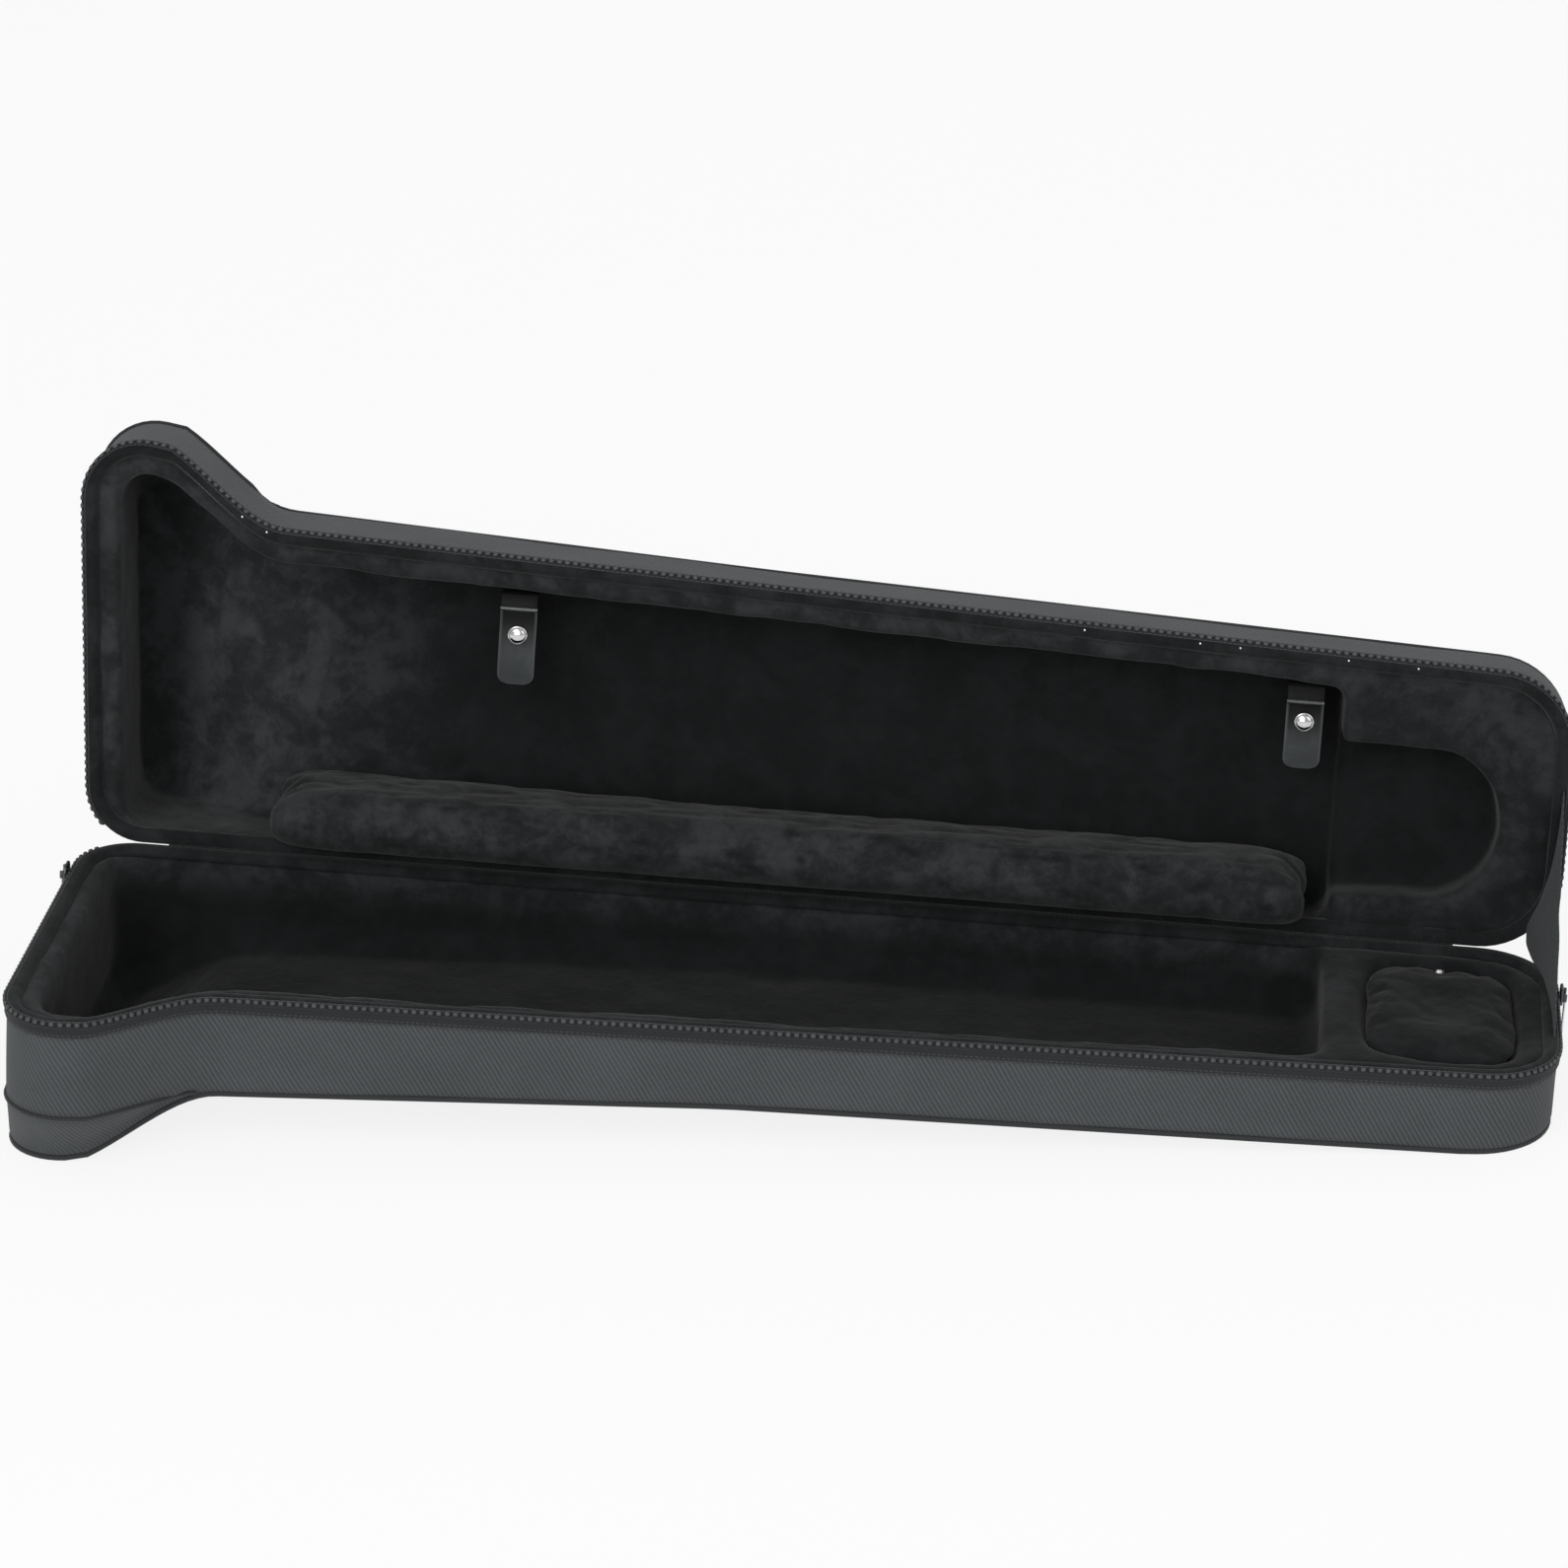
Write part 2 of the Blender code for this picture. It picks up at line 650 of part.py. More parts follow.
def build_handle(case):
    """Build the webbing handle on the base's back wall, with its grip, patches and rivets."""
    half = HANDLE_SPAN / 2
    near = GAP + WEBBING_THICKNESS / 2
    rise = half - WEBBING_FOOT - GRIP_LENGTH / 2
    path = [(-half, near), (-half + WEBBING_FOOT, near)]
    for step in range(1, ARC_STEPS + 1):
        share = step / ARC_STEPS
        height = near + (HANDLE_ARCH - near) * (1 - fade(share, 0, 1))
        path.append((-half + WEBBING_FOOT + rise * share, height))
    path += [(-x, y) for x, y in reversed(path)]
    bm = bmesh.new()
    rows = []
    for x, y in path:
        row = [bm.verts.new((HANDLE_CENTRE + x, y, HANDLE_HEIGHT + WEBBING_WIDTH * side)) for side in (-0.5, 0.5)]
        rows.append(row)
    for first, second in zip(rows, rows[1:]):
        bm.faces.new((first[0], second[0], second[1], first[1]))
    webbing = case.add("handle_webbing", bm, case.webbing, case.tilt)
    thicken(webbing, WEBBING_THICKNESS)
    grip_size = (GRIP_LENGTH - 2 * GRIP_MARGIN, GRIP_THICKNESS, WEBBING_WIDTH + 2 * GRIP_MARGIN)
    grip_place = (HANDLE_CENTRE, HANDLE_ARCH, HANDLE_HEIGHT)
    grip = case.add("handle_grip", box(grip_size, grip_place), case.leather, case.tilt)
    slot_size = (GRIP_LENGTH + CUT_OVERRUN, WEBBING_THICKNESS + 2 * GAP, WEBBING_WIDTH + 2 * GAP)
    bevel = grip.modifiers.new("round", "BEVEL")
    bevel.width = GRIP_ROUND
    bevel.segments = 2
    cut(grip, case.add("grip_slot_cutter", box(slot_size, grip_place), None, case.tilt))
    for side, name in ((-1, "left"), (1, "right")):
        foot_x = HANDLE_CENTRE + side * (half - WEBBING_FOOT / 2)
        patch_y = 2 * GAP + WEBBING_THICKNESS + PATCH_THICKNESS / 2
        patch_size = (WEBBING_FOOT - 4 * GRIP_MARGIN, PATCH_THICKNESS, WEBBING_WIDTH)
        patch = box(patch_size, (foot_x, patch_y, HANDLE_HEIGHT))
        case.add("handle_patch_" + name, patch, case.leather, case.tilt)
        rivet_y = patch_y + PATCH_THICKNESS / 2 + GAP
        turned(case, "handle_rivet_" + name, dome_profile(RIVET_RADIUS, RIVET_HEIGHT), case.chrome, case.tilt,
               (foot_x, rivet_y, HANDLE_HEIGHT), (-math.pi / 2, 0, 0))


def build_slider(case, side_name, start, end, outward):
    """Build a zip slider parked near the hinge, and its pull, on the straight stretch from start to end."""
    along = (end - start).normalized()
    park = start + along * (SLIDER_LENGTH / 2)
    track = case.add_empty("slider_" + side_name + "_track", park.to_3d(), case.tilt,
                           (0, 0, math.atan2(along.y, along.x)))
    inner = 2 * GAP + TOOTH_REACH + GAP
    outer = inner + SLIDER_THICKNESS
    gap_half = PULL_WIDTH / 2 + GAP
    lug_out = outer + LUG_REACH
    half = SLIDER_LENGTH / 2
    outline = [(-half, inner), (half, inner), (half, outer), (gap_half + LUG_WIDTH, outer),
               (gap_half + LUG_WIDTH, lug_out), (gap_half, lug_out), (gap_half, outer), (-gap_half, outer),
               (-gap_half, lug_out), (-gap_half - LUG_WIDTH, lug_out), (-gap_half - LUG_WIDTH, outer),
               (-half, outer)]
    outline = [(x, outward * y) for x, y in outline]
    slider = case.add_curve("zip_slider_" + side_name, [outline], case.teeth, track, extrude=SLIDER_HEIGHT / 2)
    slider.location.z = -SLIDER_SINK
    swing = outer + GAP + PULL_THICKNESS * PULL_SEAT_SHARE
    pivot = case.add_empty("pull_" + side_name + "_pivot", (0, outward * swing, -SLIDER_SINK), track)
    half_width = PULL_WIDTH / 2
    eye = PULL_THICKNESS / 2
    shape = [(half_width, eye), (-half_width, eye)]
    for step in range(ARC_STEPS * 2 + 1):
        angle = math.pi * (1 + step / (ARC_STEPS * 2))
        shape.append((half_width * math.cos(angle), -PULL_LENGTH + half_width * (1 + math.sin(angle))))
    pull = case.add_curve("zip_pull_" + side_name, [shape], case.chrome, pivot, extrude=PULL_THICKNESS / 2)
    pull.rotation_euler = (math.pi / 2, 0, 0)


def build_sliders(case):
    """Place the two sliders at the ends of the zip."""
    bell_front = front_edge(0, 0)
    bell_start = -BELL_CORNER - SLIDER_PARK
    bell_end = bell_front + BELL_CORNER + SLIDER_FAR
    start = Vector((bell_edge(bell_start, 0), bell_start))
    end = Vector((bell_edge(bell_end, 0), bell_end))
    build_slider(case, "bell", start, end, -1)
    tail_start = Vector((CASE_LENGTH, -TAIL_CORNER))
    tail_end = Vector((CASE_LENGTH, front_edge(CASE_LENGTH, 0) + TAIL_CORNER))
    build_slider(case, "tail", tail_start, tail_end, 1)


def build_lid(case):
    """Build the lid: shell, insert with its recess and nest, pad block, and straps."""
    build_half(case, "lid", case.lid, False)
    insert = build_insert(case, "lid_insert", case.lid, False)
    recess = tray_levels(RECESS_BAND, BACK_BAND, RECESS_FLOOR, RECESS_ROUND, CUT_OVERRUN,
                         RECESS_END, BASIN_CORNER, RECESS_CORNER)
    cut(insert, case.add("recess_cutter", tray_solid(recess), None, case.lid, False))
    nest_back = (NEST_END, -NEST_TO_BACK)
    nest_front = (NEST_END, front_edge(CASE_LENGTH, NEST_TO_FRONT))
    nest_start = RECESS_END - CUT_OVERRUN
    corner = min(NEST_CORNER, NEST_FIT_SHARE * (nest_back[1] - nest_front[1]))
    outline = [Vector((nest_start, nest_back[1]))]
    outline += fillet((nest_start, nest_back[1]), nest_back, nest_front, corner)
    outline += fillet(nest_back, nest_front, (nest_start, nest_front[1]), corner)
    outline.append(Vector((nest_start, nest_front[1])))
    cut(insert, case.add("nest_cutter", prism(outline, -NEST_DEPTH, CUT_OVERRUN), None, case.lid, False))
    cut_hollows(case, insert, nest_back[1], nest_front[1])
    build_block(case)
    for name, places in STRAP_PLACES.items():
        build_strap(case, name, *places)


def cut_hollows(case, insert, nest_back, nest_front):
    """Hollow the insert from its hidden side: along the front band, round the nest and under the nest."""
    band = WALL + GAP + HOLLOW_SKIN
    groove = RECESS_BAND - HOLLOW_SKIN
    start = RECESS_END + HOLLOW_SKIN
    end = NEST_END - HOLLOW_SKIN
    tail = CASE_LENGTH - band
    front = front_edge(start, band)
    places = {
        "front_hollow": ((HOLLOW_START, front_edge(HOLLOW_START, band)), (start, front),
                         (start, front_edge(start, groove)), (HOLLOW_START, front_edge(HOLLOW_START, groove))),
        "hinge_hollow": ((start, -band), (end, -band), (end, nest_back + HOLLOW_SKIN), (start, nest_back + HOLLOW_SKIN)),
        "tail_hollow": ((NEST_END + HOLLOW_SKIN, nest_back), (tail, nest_back), (tail, nest_front),
                        (NEST_END + HOLLOW_SKIN, nest_front)),
        "corner_hollow": ((start + HOLLOW_SKIN, nest_front - HOLLOW_SKIN), (end, nest_front - HOLLOW_SKIN),
                          (end, front_edge(end, band)), (start + HOLLOW_SKIN, front_edge(start, band))),
        "nest_hollow": ((start, nest_back - HOLLOW_SKIN), (end, nest_back - HOLLOW_SKIN),
                        (end, nest_front + HOLLOW_SKIN), (start, nest_front + HOLLOW_SKIN)),
    }
    for name, corners in places.items():
        roof = NEST_DEPTH if name == "nest_hollow" else LINER_DROP
        outline = [Vector(corner) for corner in corners]
        cutter = prism(outline, -HALF_DEPTH - CUT_OVERRUN, -roof - HOLLOW_SKIN)
        cut(insert, case.add(name, cutter, None, case.lid, False))


def build_block(case):
    """Build the long plush pad block: a crowned section drawn in at both ends and lightly rippled."""
    section_shares = ((0.06, 0.0), (0.0, 0.10), (0.02, 0.50), (0.03, 0.84), (0.20, 0.98), (0.50, 1.0),
                      (0.80, 0.98), (0.97, 0.84), (0.98, 0.50), (1.0, 0.10), (0.94, 0.0))
    end_shares = ((0.0, 0.62), (0.12, 0.82), (0.45, 0.96), (1.0, 1.0))
    places = [(BLOCK_START + BLOCK_NOSE * share, size) for share, size in end_shares]
    spacing = (BLOCK_END - BLOCK_START - 2 * BLOCK_NOSE) / BLOCK_STATIONS
    for step in range(1, BLOCK_STATIONS):
        x = BLOCK_START + BLOCK_NOSE + spacing * step
        places.append((NECK_END if abs(x - NECK_END) < spacing / 2 else x, 1))
    places += [(BLOCK_END - BLOCK_NOSE * share, size) for share, size in reversed(end_shares)]
    rings = []
    for index, (x, size) in enumerate(places):
        seat = floor_height(x) + RECESS_FLOOR + GAP
        ripple = BLOCK_RIPPLE * math.sin(index * RIPPLE_TURN) * (size == 1)
        ring = []
        for across, rise in section_shares:
            width = BLOCK_WIDTH * (0.5 + (across - 0.5) * size)
            height = (BLOCK_REACH - ripple - seat) * rise * (1 - (1 - size) * rise / 2)
            ring.append(Vector((x, -BLOCK_BACK - width, seat + height)))
        rings.append(ring)
    block = case.add("lid_pad_block", loft(rings), case.plush, case.lid, False, smooth=True)
    soften(block)


def ribbon(case, name, path, x, width, thickness, parent):
    """Build a strip of even thickness along a path of (y, z) points."""
    bm = bmesh.new()
    rows = []
    for y, z in path:
        rows.append([bm.verts.new((x + width * side, y, z)) for side in (-0.5, 0.5)])
    for first, second in zip(rows, rows[1:]):
        bm.faces.new((first[0], first[1], second[1], second[0]))
    strip = case.add(name, bm, case.leather, parent)
    thicken(strip, thickness)
    return strip


def build_strap(case, side_name, x, fold_inset, flap_length, snap_drop, tube_drop):
    """Build one strap: root on the recess wall, hinged flap with snap cap, and the loop under it."""
    wall_y = front_edge(x + STRAP_WIDTH / 2, RECESS_BAND)
    fold_y = front_edge(x, fold_inset)
    flap_z = GAP + STRAP_THICKNESS / 2
    skin = GAP + STRAP_THICKNESS / 2
    prefix = "strap_" + side_name
    root = [(wall_y + skin, LINER_DROP + STRAP_ROOT), (wall_y + skin, LINER_DROP + STRAP_THICKNESS),
            ((wall_y + fold_y) / 2, flap_z + STRAP_THICKNESS / 2), (fold_y - GAP, flap_z)]
    ribbon(case, prefix + "_root", root, x, STRAP_WIDTH, STRAP_THICKNESS, case.lid)
    hinge = case.add_empty(prefix + "_fold", (x, fold_y, GAP), case.lid)
    half = STRAP_WIDTH / 2
    outline = [Vector((-half, 0))]
    outline += fillet((-half, 0), (-half, flap_length), (half, flap_length), FLAP_END_RADIUS)
    outline += fillet((-half, flap_length), (half, flap_length), (half, 0), FLAP_END_RADIUS)
    outline.append(Vector((half, 0)))
    flap = case.add_curve(prefix + "_flap", [outline], case.leather, hinge, extrude=STRAP_THICKNESS / 2)
    flap.location.z = STRAP_THICKNESS / 2
    turned(case, prefix + "_snap_cap", dome_profile(SNAP_RADIUS, SNAP_HEIGHT), case.chrome, hinge,
           (0, snap_drop, -GAP), (math.pi, 0, 0))
    tube_y = fold_y + tube_drop
    radius = HELD_TUBE_RADIUS + STRAP_THICKNESS / 2
    loop = [(wall_y + GAP, HELD_TUBE_HEIGHT + radius)]
    for step in range(ARC_STEPS + 1):
        angle = math.pi * (0.5 - step / ARC_STEPS)
        loop.append((tube_y + radius * math.cos(angle), HELD_TUBE_HEIGHT + radius * math.sin(angle)))
    front_z = flap_z + STRAP_THICKNESS + GAP
    stud_y = fold_y + snap_drop
    loop.append((stud_y + SNAP_RADIUS, front_z))
    loop.append((stud_y - SNAP_RADIUS, front_z))
    ribbon(case, prefix + "_loop", loop, x, STRAP_WIDTH - 2 * STRAP_THICKNESS, STRAP_THICKNESS, case.lid)
    turned(case, prefix + "_snap_stud", dome_profile(SNAP_SOCKET_RADIUS, SNAP_HEIGHT / 2), case.chrome,
           case.lid, (x, stud_y, front_z + skin))


def opened(y, z):
    """Turn a (y, z) place of the closed lid to where the open lid has it."""
    place = Matrix.Rotation(-LID_OPEN_ANGLE, 3, "X") @ Vector((0, y, z))
    return place.y, place.z


def build_spine(case):
    """Build the fabric spine: one strip from the base's back wall to the lid's."""
    skin = GAP + SPINE_THICKNESS / 2
    low = SPINE_LEG + TAPE_THICKNESS
    path = [(skin, -low), (skin, -low / 2), (skin, -SPINE_BEND)]
    path.append(((skin + opened(skin, SPINE_BEND)[0]) / 2 + skin, (opened(skin, SPINE_BEND)[1] - SPINE_BEND) / 2))
    path += [opened(skin, SPINE_BEND), opened(skin, low / 2), opened(skin, low)]
    middle = (SPINE_START + SPINE_END) / 2
    spine = ribbon(case, "spine_hinge", path, middle, SPINE_END - SPINE_START, SPINE_THICKNESS, case.tilt)
    spine.data.materials[0] = case.cover


def tail_edge(y, side):
    """Give x of the tail end at y, round the hinge corner where y is near it."""
    reach = min(max(TAIL_CORNER + y, 0), TAIL_CORNER)
    return CASE_LENGTH - TAIL_CORNER + math.sqrt(TAIL_CORNER ** 2 - reach ** 2) - side


def build_stay(case):
    """Build the fabric stay between the two rims at the tail end."""
    bm = bmesh.new()
    rows = []
    lift = GAP - RIM_GAP
    for step in range(ARC_STEPS + 1):
        rise = step / ARC_STEPS
        row = []
        for count in range(ARC_STEPS + 1):
            across = count / ARC_STEPS
            base_y = -STAY_BASE_BACK - (STAY_BASE_FRONT - STAY_BASE_BACK) * across
            lid_y = -STAY_LID_LOW - (STAY_LID_HIGH - STAY_LID_LOW) * across
            low = Vector((tail_edge(base_y, WALL / 2), base_y, lift))
            high = Vector((tail_edge(lid_y, WALL / 2), *opened(lid_y, -lift)))
            place = low.lerp(high, rise)
            place.x -= STAY_BOW * math.sin(math.pi * rise) * (1 - across)
            row.append(bm.verts.new(place))
        rows.append(row)
    for first, second in zip(rows, rows[1:]):
        join_rings(bm, first, second, closed=False)
    stay = case.add("lid_stay", bm, case.tape, case.tilt, smooth=True)
    thicken(stay, STAY_THICKNESS)


def set_down(case):
    """Move the whole case so that it stands on z = 0 with the middle of its box over the origin."""
    bpy.context.view_layer.update()
    graph = bpy.context.evaluated_depsgraph_get()
    points = []
    for item in case.parts.objects:
        if item.type == "EMPTY":
            continue
        mesh = bpy.data.meshes.new_from_object(item.evaluated_get(graph))
        points += [item.matrix_world @ vertex.co for vertex in mesh.vertices]
        bpy.data.meshes.remove(mesh)
    low = Vector([min(p[axis] for p in points) for axis in range(3)])
    high = Vector([max(p[axis] for p in points) for axis in range(3)])
    case.tilt.location = (-(low.x + high.x) / 2, -(low.y + high.y) / 2, -low.z)


def main():
    """Build the whole case."""
    case = Case()
    case.tilt.rotation_euler = (0, REST_TILT, 0)
    case.lid.rotation_euler = (-LID_OPEN_ANGLE, 0, 0)
    build_base(case)
    build_lid(case)
    build_sliders(case)
    build_spine(case)
    build_stay(case)
    set_down(case)


main()
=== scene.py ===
"""Open case of twill over padded walls, on a plain pale floor.

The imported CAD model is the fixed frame. Each soft solid and each fitting gets a finer piece that stands for
it: cloth covers, plush linings, piping, a zip with separate teeth, leather straps and a webbing handle.
"""
import json
import logging
import math
from collections.abc import Callable, Iterable, Sequence
from dataclasses import dataclass
from enum import Enum

import bmesh
import bpy
from mathutils import Matrix, Vector, noise

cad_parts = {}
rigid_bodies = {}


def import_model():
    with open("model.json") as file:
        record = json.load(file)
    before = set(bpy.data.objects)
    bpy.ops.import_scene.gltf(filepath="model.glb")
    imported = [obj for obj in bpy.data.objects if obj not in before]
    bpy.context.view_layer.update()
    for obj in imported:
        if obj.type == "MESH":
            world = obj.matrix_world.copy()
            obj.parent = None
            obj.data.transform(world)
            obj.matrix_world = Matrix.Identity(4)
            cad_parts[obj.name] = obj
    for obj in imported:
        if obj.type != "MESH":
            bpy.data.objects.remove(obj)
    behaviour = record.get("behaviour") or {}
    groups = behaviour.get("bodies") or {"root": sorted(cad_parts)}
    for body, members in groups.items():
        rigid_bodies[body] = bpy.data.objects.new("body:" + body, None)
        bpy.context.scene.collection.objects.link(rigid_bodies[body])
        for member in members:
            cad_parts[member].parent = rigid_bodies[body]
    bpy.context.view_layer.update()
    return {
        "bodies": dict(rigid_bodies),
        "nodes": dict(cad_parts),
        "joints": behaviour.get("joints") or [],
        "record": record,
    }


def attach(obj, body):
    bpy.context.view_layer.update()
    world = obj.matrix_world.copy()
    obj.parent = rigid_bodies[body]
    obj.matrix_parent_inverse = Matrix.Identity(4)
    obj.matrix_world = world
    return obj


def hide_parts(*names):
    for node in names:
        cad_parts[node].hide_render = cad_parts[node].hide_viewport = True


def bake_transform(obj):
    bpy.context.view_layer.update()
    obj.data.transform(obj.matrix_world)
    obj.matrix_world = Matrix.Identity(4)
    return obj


LOG = logging.getLogger("case")
PHOTO_SIZE = 1590  # pixels along one side
MERGE = 1e-5  # metres within which two points become one
ALL_SMOOTH = 3.2  # radians, more than a half turn, so that no edge stays sharp
SMALL_TURN = 20  # steps round a small turned form
UPSIDE_DOWN = Matrix.Diagonal((1.0, 1.0, -1.0, 1.0))

Form = bmesh.types.BMesh
Piece = bpy.types.Object
Place = Callable[[int, int], Vector]
Ring = list[Vector]
Pair = tuple[float, float]
Triple = tuple[float, float, float]
Colour = Triple


def smooth_fade(x: float, start: float, end: float) -> float:
    """Fall smoothly from 1 before start to 0 after end."""
    share = min(max((x - start) / (end - start), 0.0), 1.0)
    return 1.0 - share * share * (3.0 - 2.0 * share)


def path_length(path: Sequence[Vector]) -> float:
    """Measure a path of points."""
    return sum((b - a).length for a, b in zip(path, path[1:]))


def spaced(path: Sequence[Vector], pitch: float, start: float = 0.5) -> list[tuple[Vector, Vector]]:
    """Walk along a path in equal steps.

    Args:
        path: Points of the path.
        pitch: Distance between two places.
        start: Share of the pitch before the first place.

    Returns:
        Each place with the unit direction of travel.
    """
    found: list[tuple[Vector, Vector]] = []
    left = pitch * start
    for first, second in zip(path, path[1:]):
        leg = (second - first).length
        if leg < MERGE:
            continue
        way = (second - first) / leg
        while left < leg:
            found.append((first + way * left, way))
            left += pitch
        left -= leg
    return found


def resampled(path: Sequence[Vector], pitch: float) -> Ring:
    """Give the path again in equal legs of about the pitch, ends included.

    Args:
        path: Points of the path.
        pitch: About how long a leg becomes.

    Returns:
        The new points.
    """
    total = path_length(path)
    count = max(2, round(total / pitch))
    places = [place for place, _ in spaced(path, total / count, 1.0)]
    return [path[0].copy(), *places[:count - 1], path[-1].copy()]


class Half(Enum):
    """The two halves of the case, named as their bodies are."""

    BASE = "base"
    LID = "lid"

    def pick(self, choices: Pair) -> float:
        """Choose between the base's and the lid's value."""
        return choices[self is Half.LID]


@dataclass(frozen=True)
class CaseFrame:
    """Where the two halves stand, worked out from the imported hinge."""

    base: Matrix
    lid: Matrix
    opened: float

    @classmethod
    def from_joint(cls, joint: dict) -> "CaseFrame":
        """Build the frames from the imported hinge.

        Args:
            joint: The lid hinge's record: its place, its axis and how far it opens.

        Returns:
            The frames.
        """
        along = Vector(joint["axis"]).normalized()
        if along.x < 0:
            along.negate()
        tilt = math.atan2(-along.z, along.x)
        opened = math.radians(max(abs(v) for v in joint["range_deg"]))
        base = Matrix.Translation(joint["pos_m"]) @ Matrix.Rotation(tilt, 4, "Y")
        lid = base @ Matrix.Rotation(-opened, 4, "X") @ UPSIDE_DOWN
        return cls(base, lid, opened)

    def of(self, half: Half) -> Matrix:
        """Give the matrix of a half whose rim lies at z = 0 with the half below it."""
        return self.base if half is Half.BASE else self.lid


@dataclass(frozen=True)
class CaseOutline:
    """Plan and depth of a half: x from bell end to tail, y = 0 on the hinge side, z = 0 at the rim."""

    length: float = 0.920
    neck_width: float = 0.206
    tail_width: float = 0.173
    bell_width: float = 0.262
    bell_skew: float = 0.013
    half_depth: float = 0.0563
    neck_swell: float = 0.012
    neck_end: float = 0.420
    bulge_depth: float = 0.0435
    flare_start: float = 0.042
    flare_rise: float = 0.022
    flare_end: float = 0.115
    bulge_start: float = 0.010
    bulge_end: float = 0.115
    bell_puff: float = 0.004
    bell_corner: float = 0.0355
    tail_corner: float = 0.048
    edge_break: float = 0.008
    bell_press: float = 0.0045
    tail_rest: float = 0.055
    wall: float = 0.005
    rim_gap: float = 0.0005
    liner_drop: float = 0.003
    crease_share: float = 1.16
    crease_lift_share: float = 1.25
    corner_room_share: float = 0.85
    bottom_flare: float = 0.50
    arc_steps: int = 12
    flare_steps: int = 12
    body_steps: int = 36

    def body_width(self, x: float) -> float:
        """Give the straight body's width, which tapers to the tail."""
        share = (x - self.flare_end) / (self.length - self.flare_end)
        return self.neck_width + (self.tail_width - self.neck_width) * share

    def front_edge(self, x: float, side: float = 0.0, flare: float = 1.0) -> float:
        """Give y of the front edge.

        Args:
            x: Place along the case.
            side: Distance inside the outer wall.
            flare: Share of the bell's flare.

        Returns:
            The place across the case.
        """
        bell = self.bell_width - self.body_width(0.0)
        wide = smooth_fade(x, self.flare_start - self.flare_rise, self.flare_end)
        return side - self.body_width(x) - flare * bell * wide

    def bell_edge(self, y: float, side: float = 0.0) -> float:
        """Give x of the slanted bell end at y."""
        return side + self.bell_skew * y / self.bell_width

    def floor_height(self, x: float) -> float:
        """Give z of the outer bottom, pressed flat where the standing case touches the ground.

        Args:
            x: Place along the case.

        Returns:
            The height, below the rim and so negative.
        """
        rest = self.length - self.tail_rest
        slope = (self.neck_swell + self.bulge_depth - self.bell_press) / (rest - self.bulge_start)
        swell = self.neck_swell * min(max((self.neck_end - x) / (self.neck_end - self.flare_end), 0.0), 1.0)
        free = -self.half_depth - swell - self.bulge_depth * smooth_fade(x, self.bulge_start, self.bulge_end)
        return max(free, -self.half_depth + (x - rest) * slope)

    def crease_height(self, x: float) -> float:
        """Give z of the line under which the wall draws in to the bottom."""
        lift = self.edge_break * self.crease_lift_share
        return max(-self.half_depth * self.crease_share, self.floor_height(x) + lift)

    def fillet(self, before: Sequence[float], corner: Sequence[float], after: Sequence[float],
               radius: float) -> Ring:
        """Round a corner with an arc that touches both legs.

        Args:
            before: A point on the leg that comes in.
            corner: The corner.
            after: A point on the leg that goes out.
            radius: The arc's radius.

        Returns:
            The arc's points.
        """
        middle = Vector(corner)
        first = (Vector(before) - middle).normalized()
        second = (Vector(after) - middle).normalized()
        half = first.angle(second) / 2.0
        centre = middle + (first + second).normalized() * radius / math.sin(half)
        start = middle + first * radius / math.tan(half) - centre
        end = middle + second * radius / math.tan(half) - centre
        turn = start.angle_signed(end)
        steps = self.arc_steps
        return [centre + Matrix.Rotation(-turn * n / steps, 2) @ start for n in range(steps + 1)]

    def chains(self, side: float, flare: float = 1.0) -> tuple[Ring, Ring]:
        """Give the plan outline as a front and a back chain of equal length, from bell to tail.

        Args:
            side: Distance inside the outer wall.
            flare: Share of the bell's flare.

        Returns:
            The front chain and the back chain.
        """
        tail_x = self.length - side
        bell_radius = max(self.bell_corner - side, self.edge_break)
        tail_radius = max(self.tail_corner - side, self.edge_break)
        last = tail_x - tail_radius - self.edge_break
        steps = [self.flare_start + (self.flare_end - self.flare_start) * n / self.flare_steps
                 for n in range(self.flare_steps)]
        steps += [self.flare_end + (last - self.flare_end) * n / self.body_steps
                  for n in range(self.body_steps + 1)]
        bell_front = self.front_edge(0.0, side, flare)
        front_left = (self.bell_edge(bell_front, side), bell_front)
        back_left = (self.bell_edge(-side, side), -side)
        front_right = (tail_x, self.front_edge(tail_x, side, flare))
        back_right = (tail_x, -side)
        front = [Vector((x, self.front_edge(x, side, flare))) for x in steps]
        rear = [Vector((x, -side)) for x in steps]
        bell_radius = min(bell_radius, self.corner_room_share * (steps[0] - back_left[0]))
        front = self.fillet(back_left, front_left, front[0], bell_radius) + front
        front += self.fillet(front[-1], front_right, back_right, tail_radius)
        rear = self.fillet(front_left, back_left, rear[0], bell_radius) + rear
        rear += self.fillet(rear[-1], back_right, front_right, tail_radius)
        return front, rear

    def puffed(self, point: Vector) -> Vector:
        """Shift a point of the lower outline outwards at the bell end."""
        return Vector((point.x - self.bell_puff * smooth_fade(point.x, 0.0, self.flare_end), point.y))

    def drawn_in(self, side: float) -> tuple[Ring, Ring]:
        """Give the two chains of the lower outline, with less flare and puffed at the bell end."""
        front, rear = self.chains(side, self.bottom_flare)
        return [self.puffed(p) for p in front], [self.puffed(p) for p in rear]

    def rim_path(self, outset: float) -> Ring:
        """Give the zip's way round bell end, front and tail, a distance outside the wall.

        Args:
            outset: Distance outside the outer wall.

        Returns:
            The way's points.
        """
        front, rear = self.chains(-outset)
        turn = self.arc_steps // 2
        return rear[turn:0:-1] + [rear[0]] + front + [rear[-1]] + rear[-2:-2 - turn:-1]

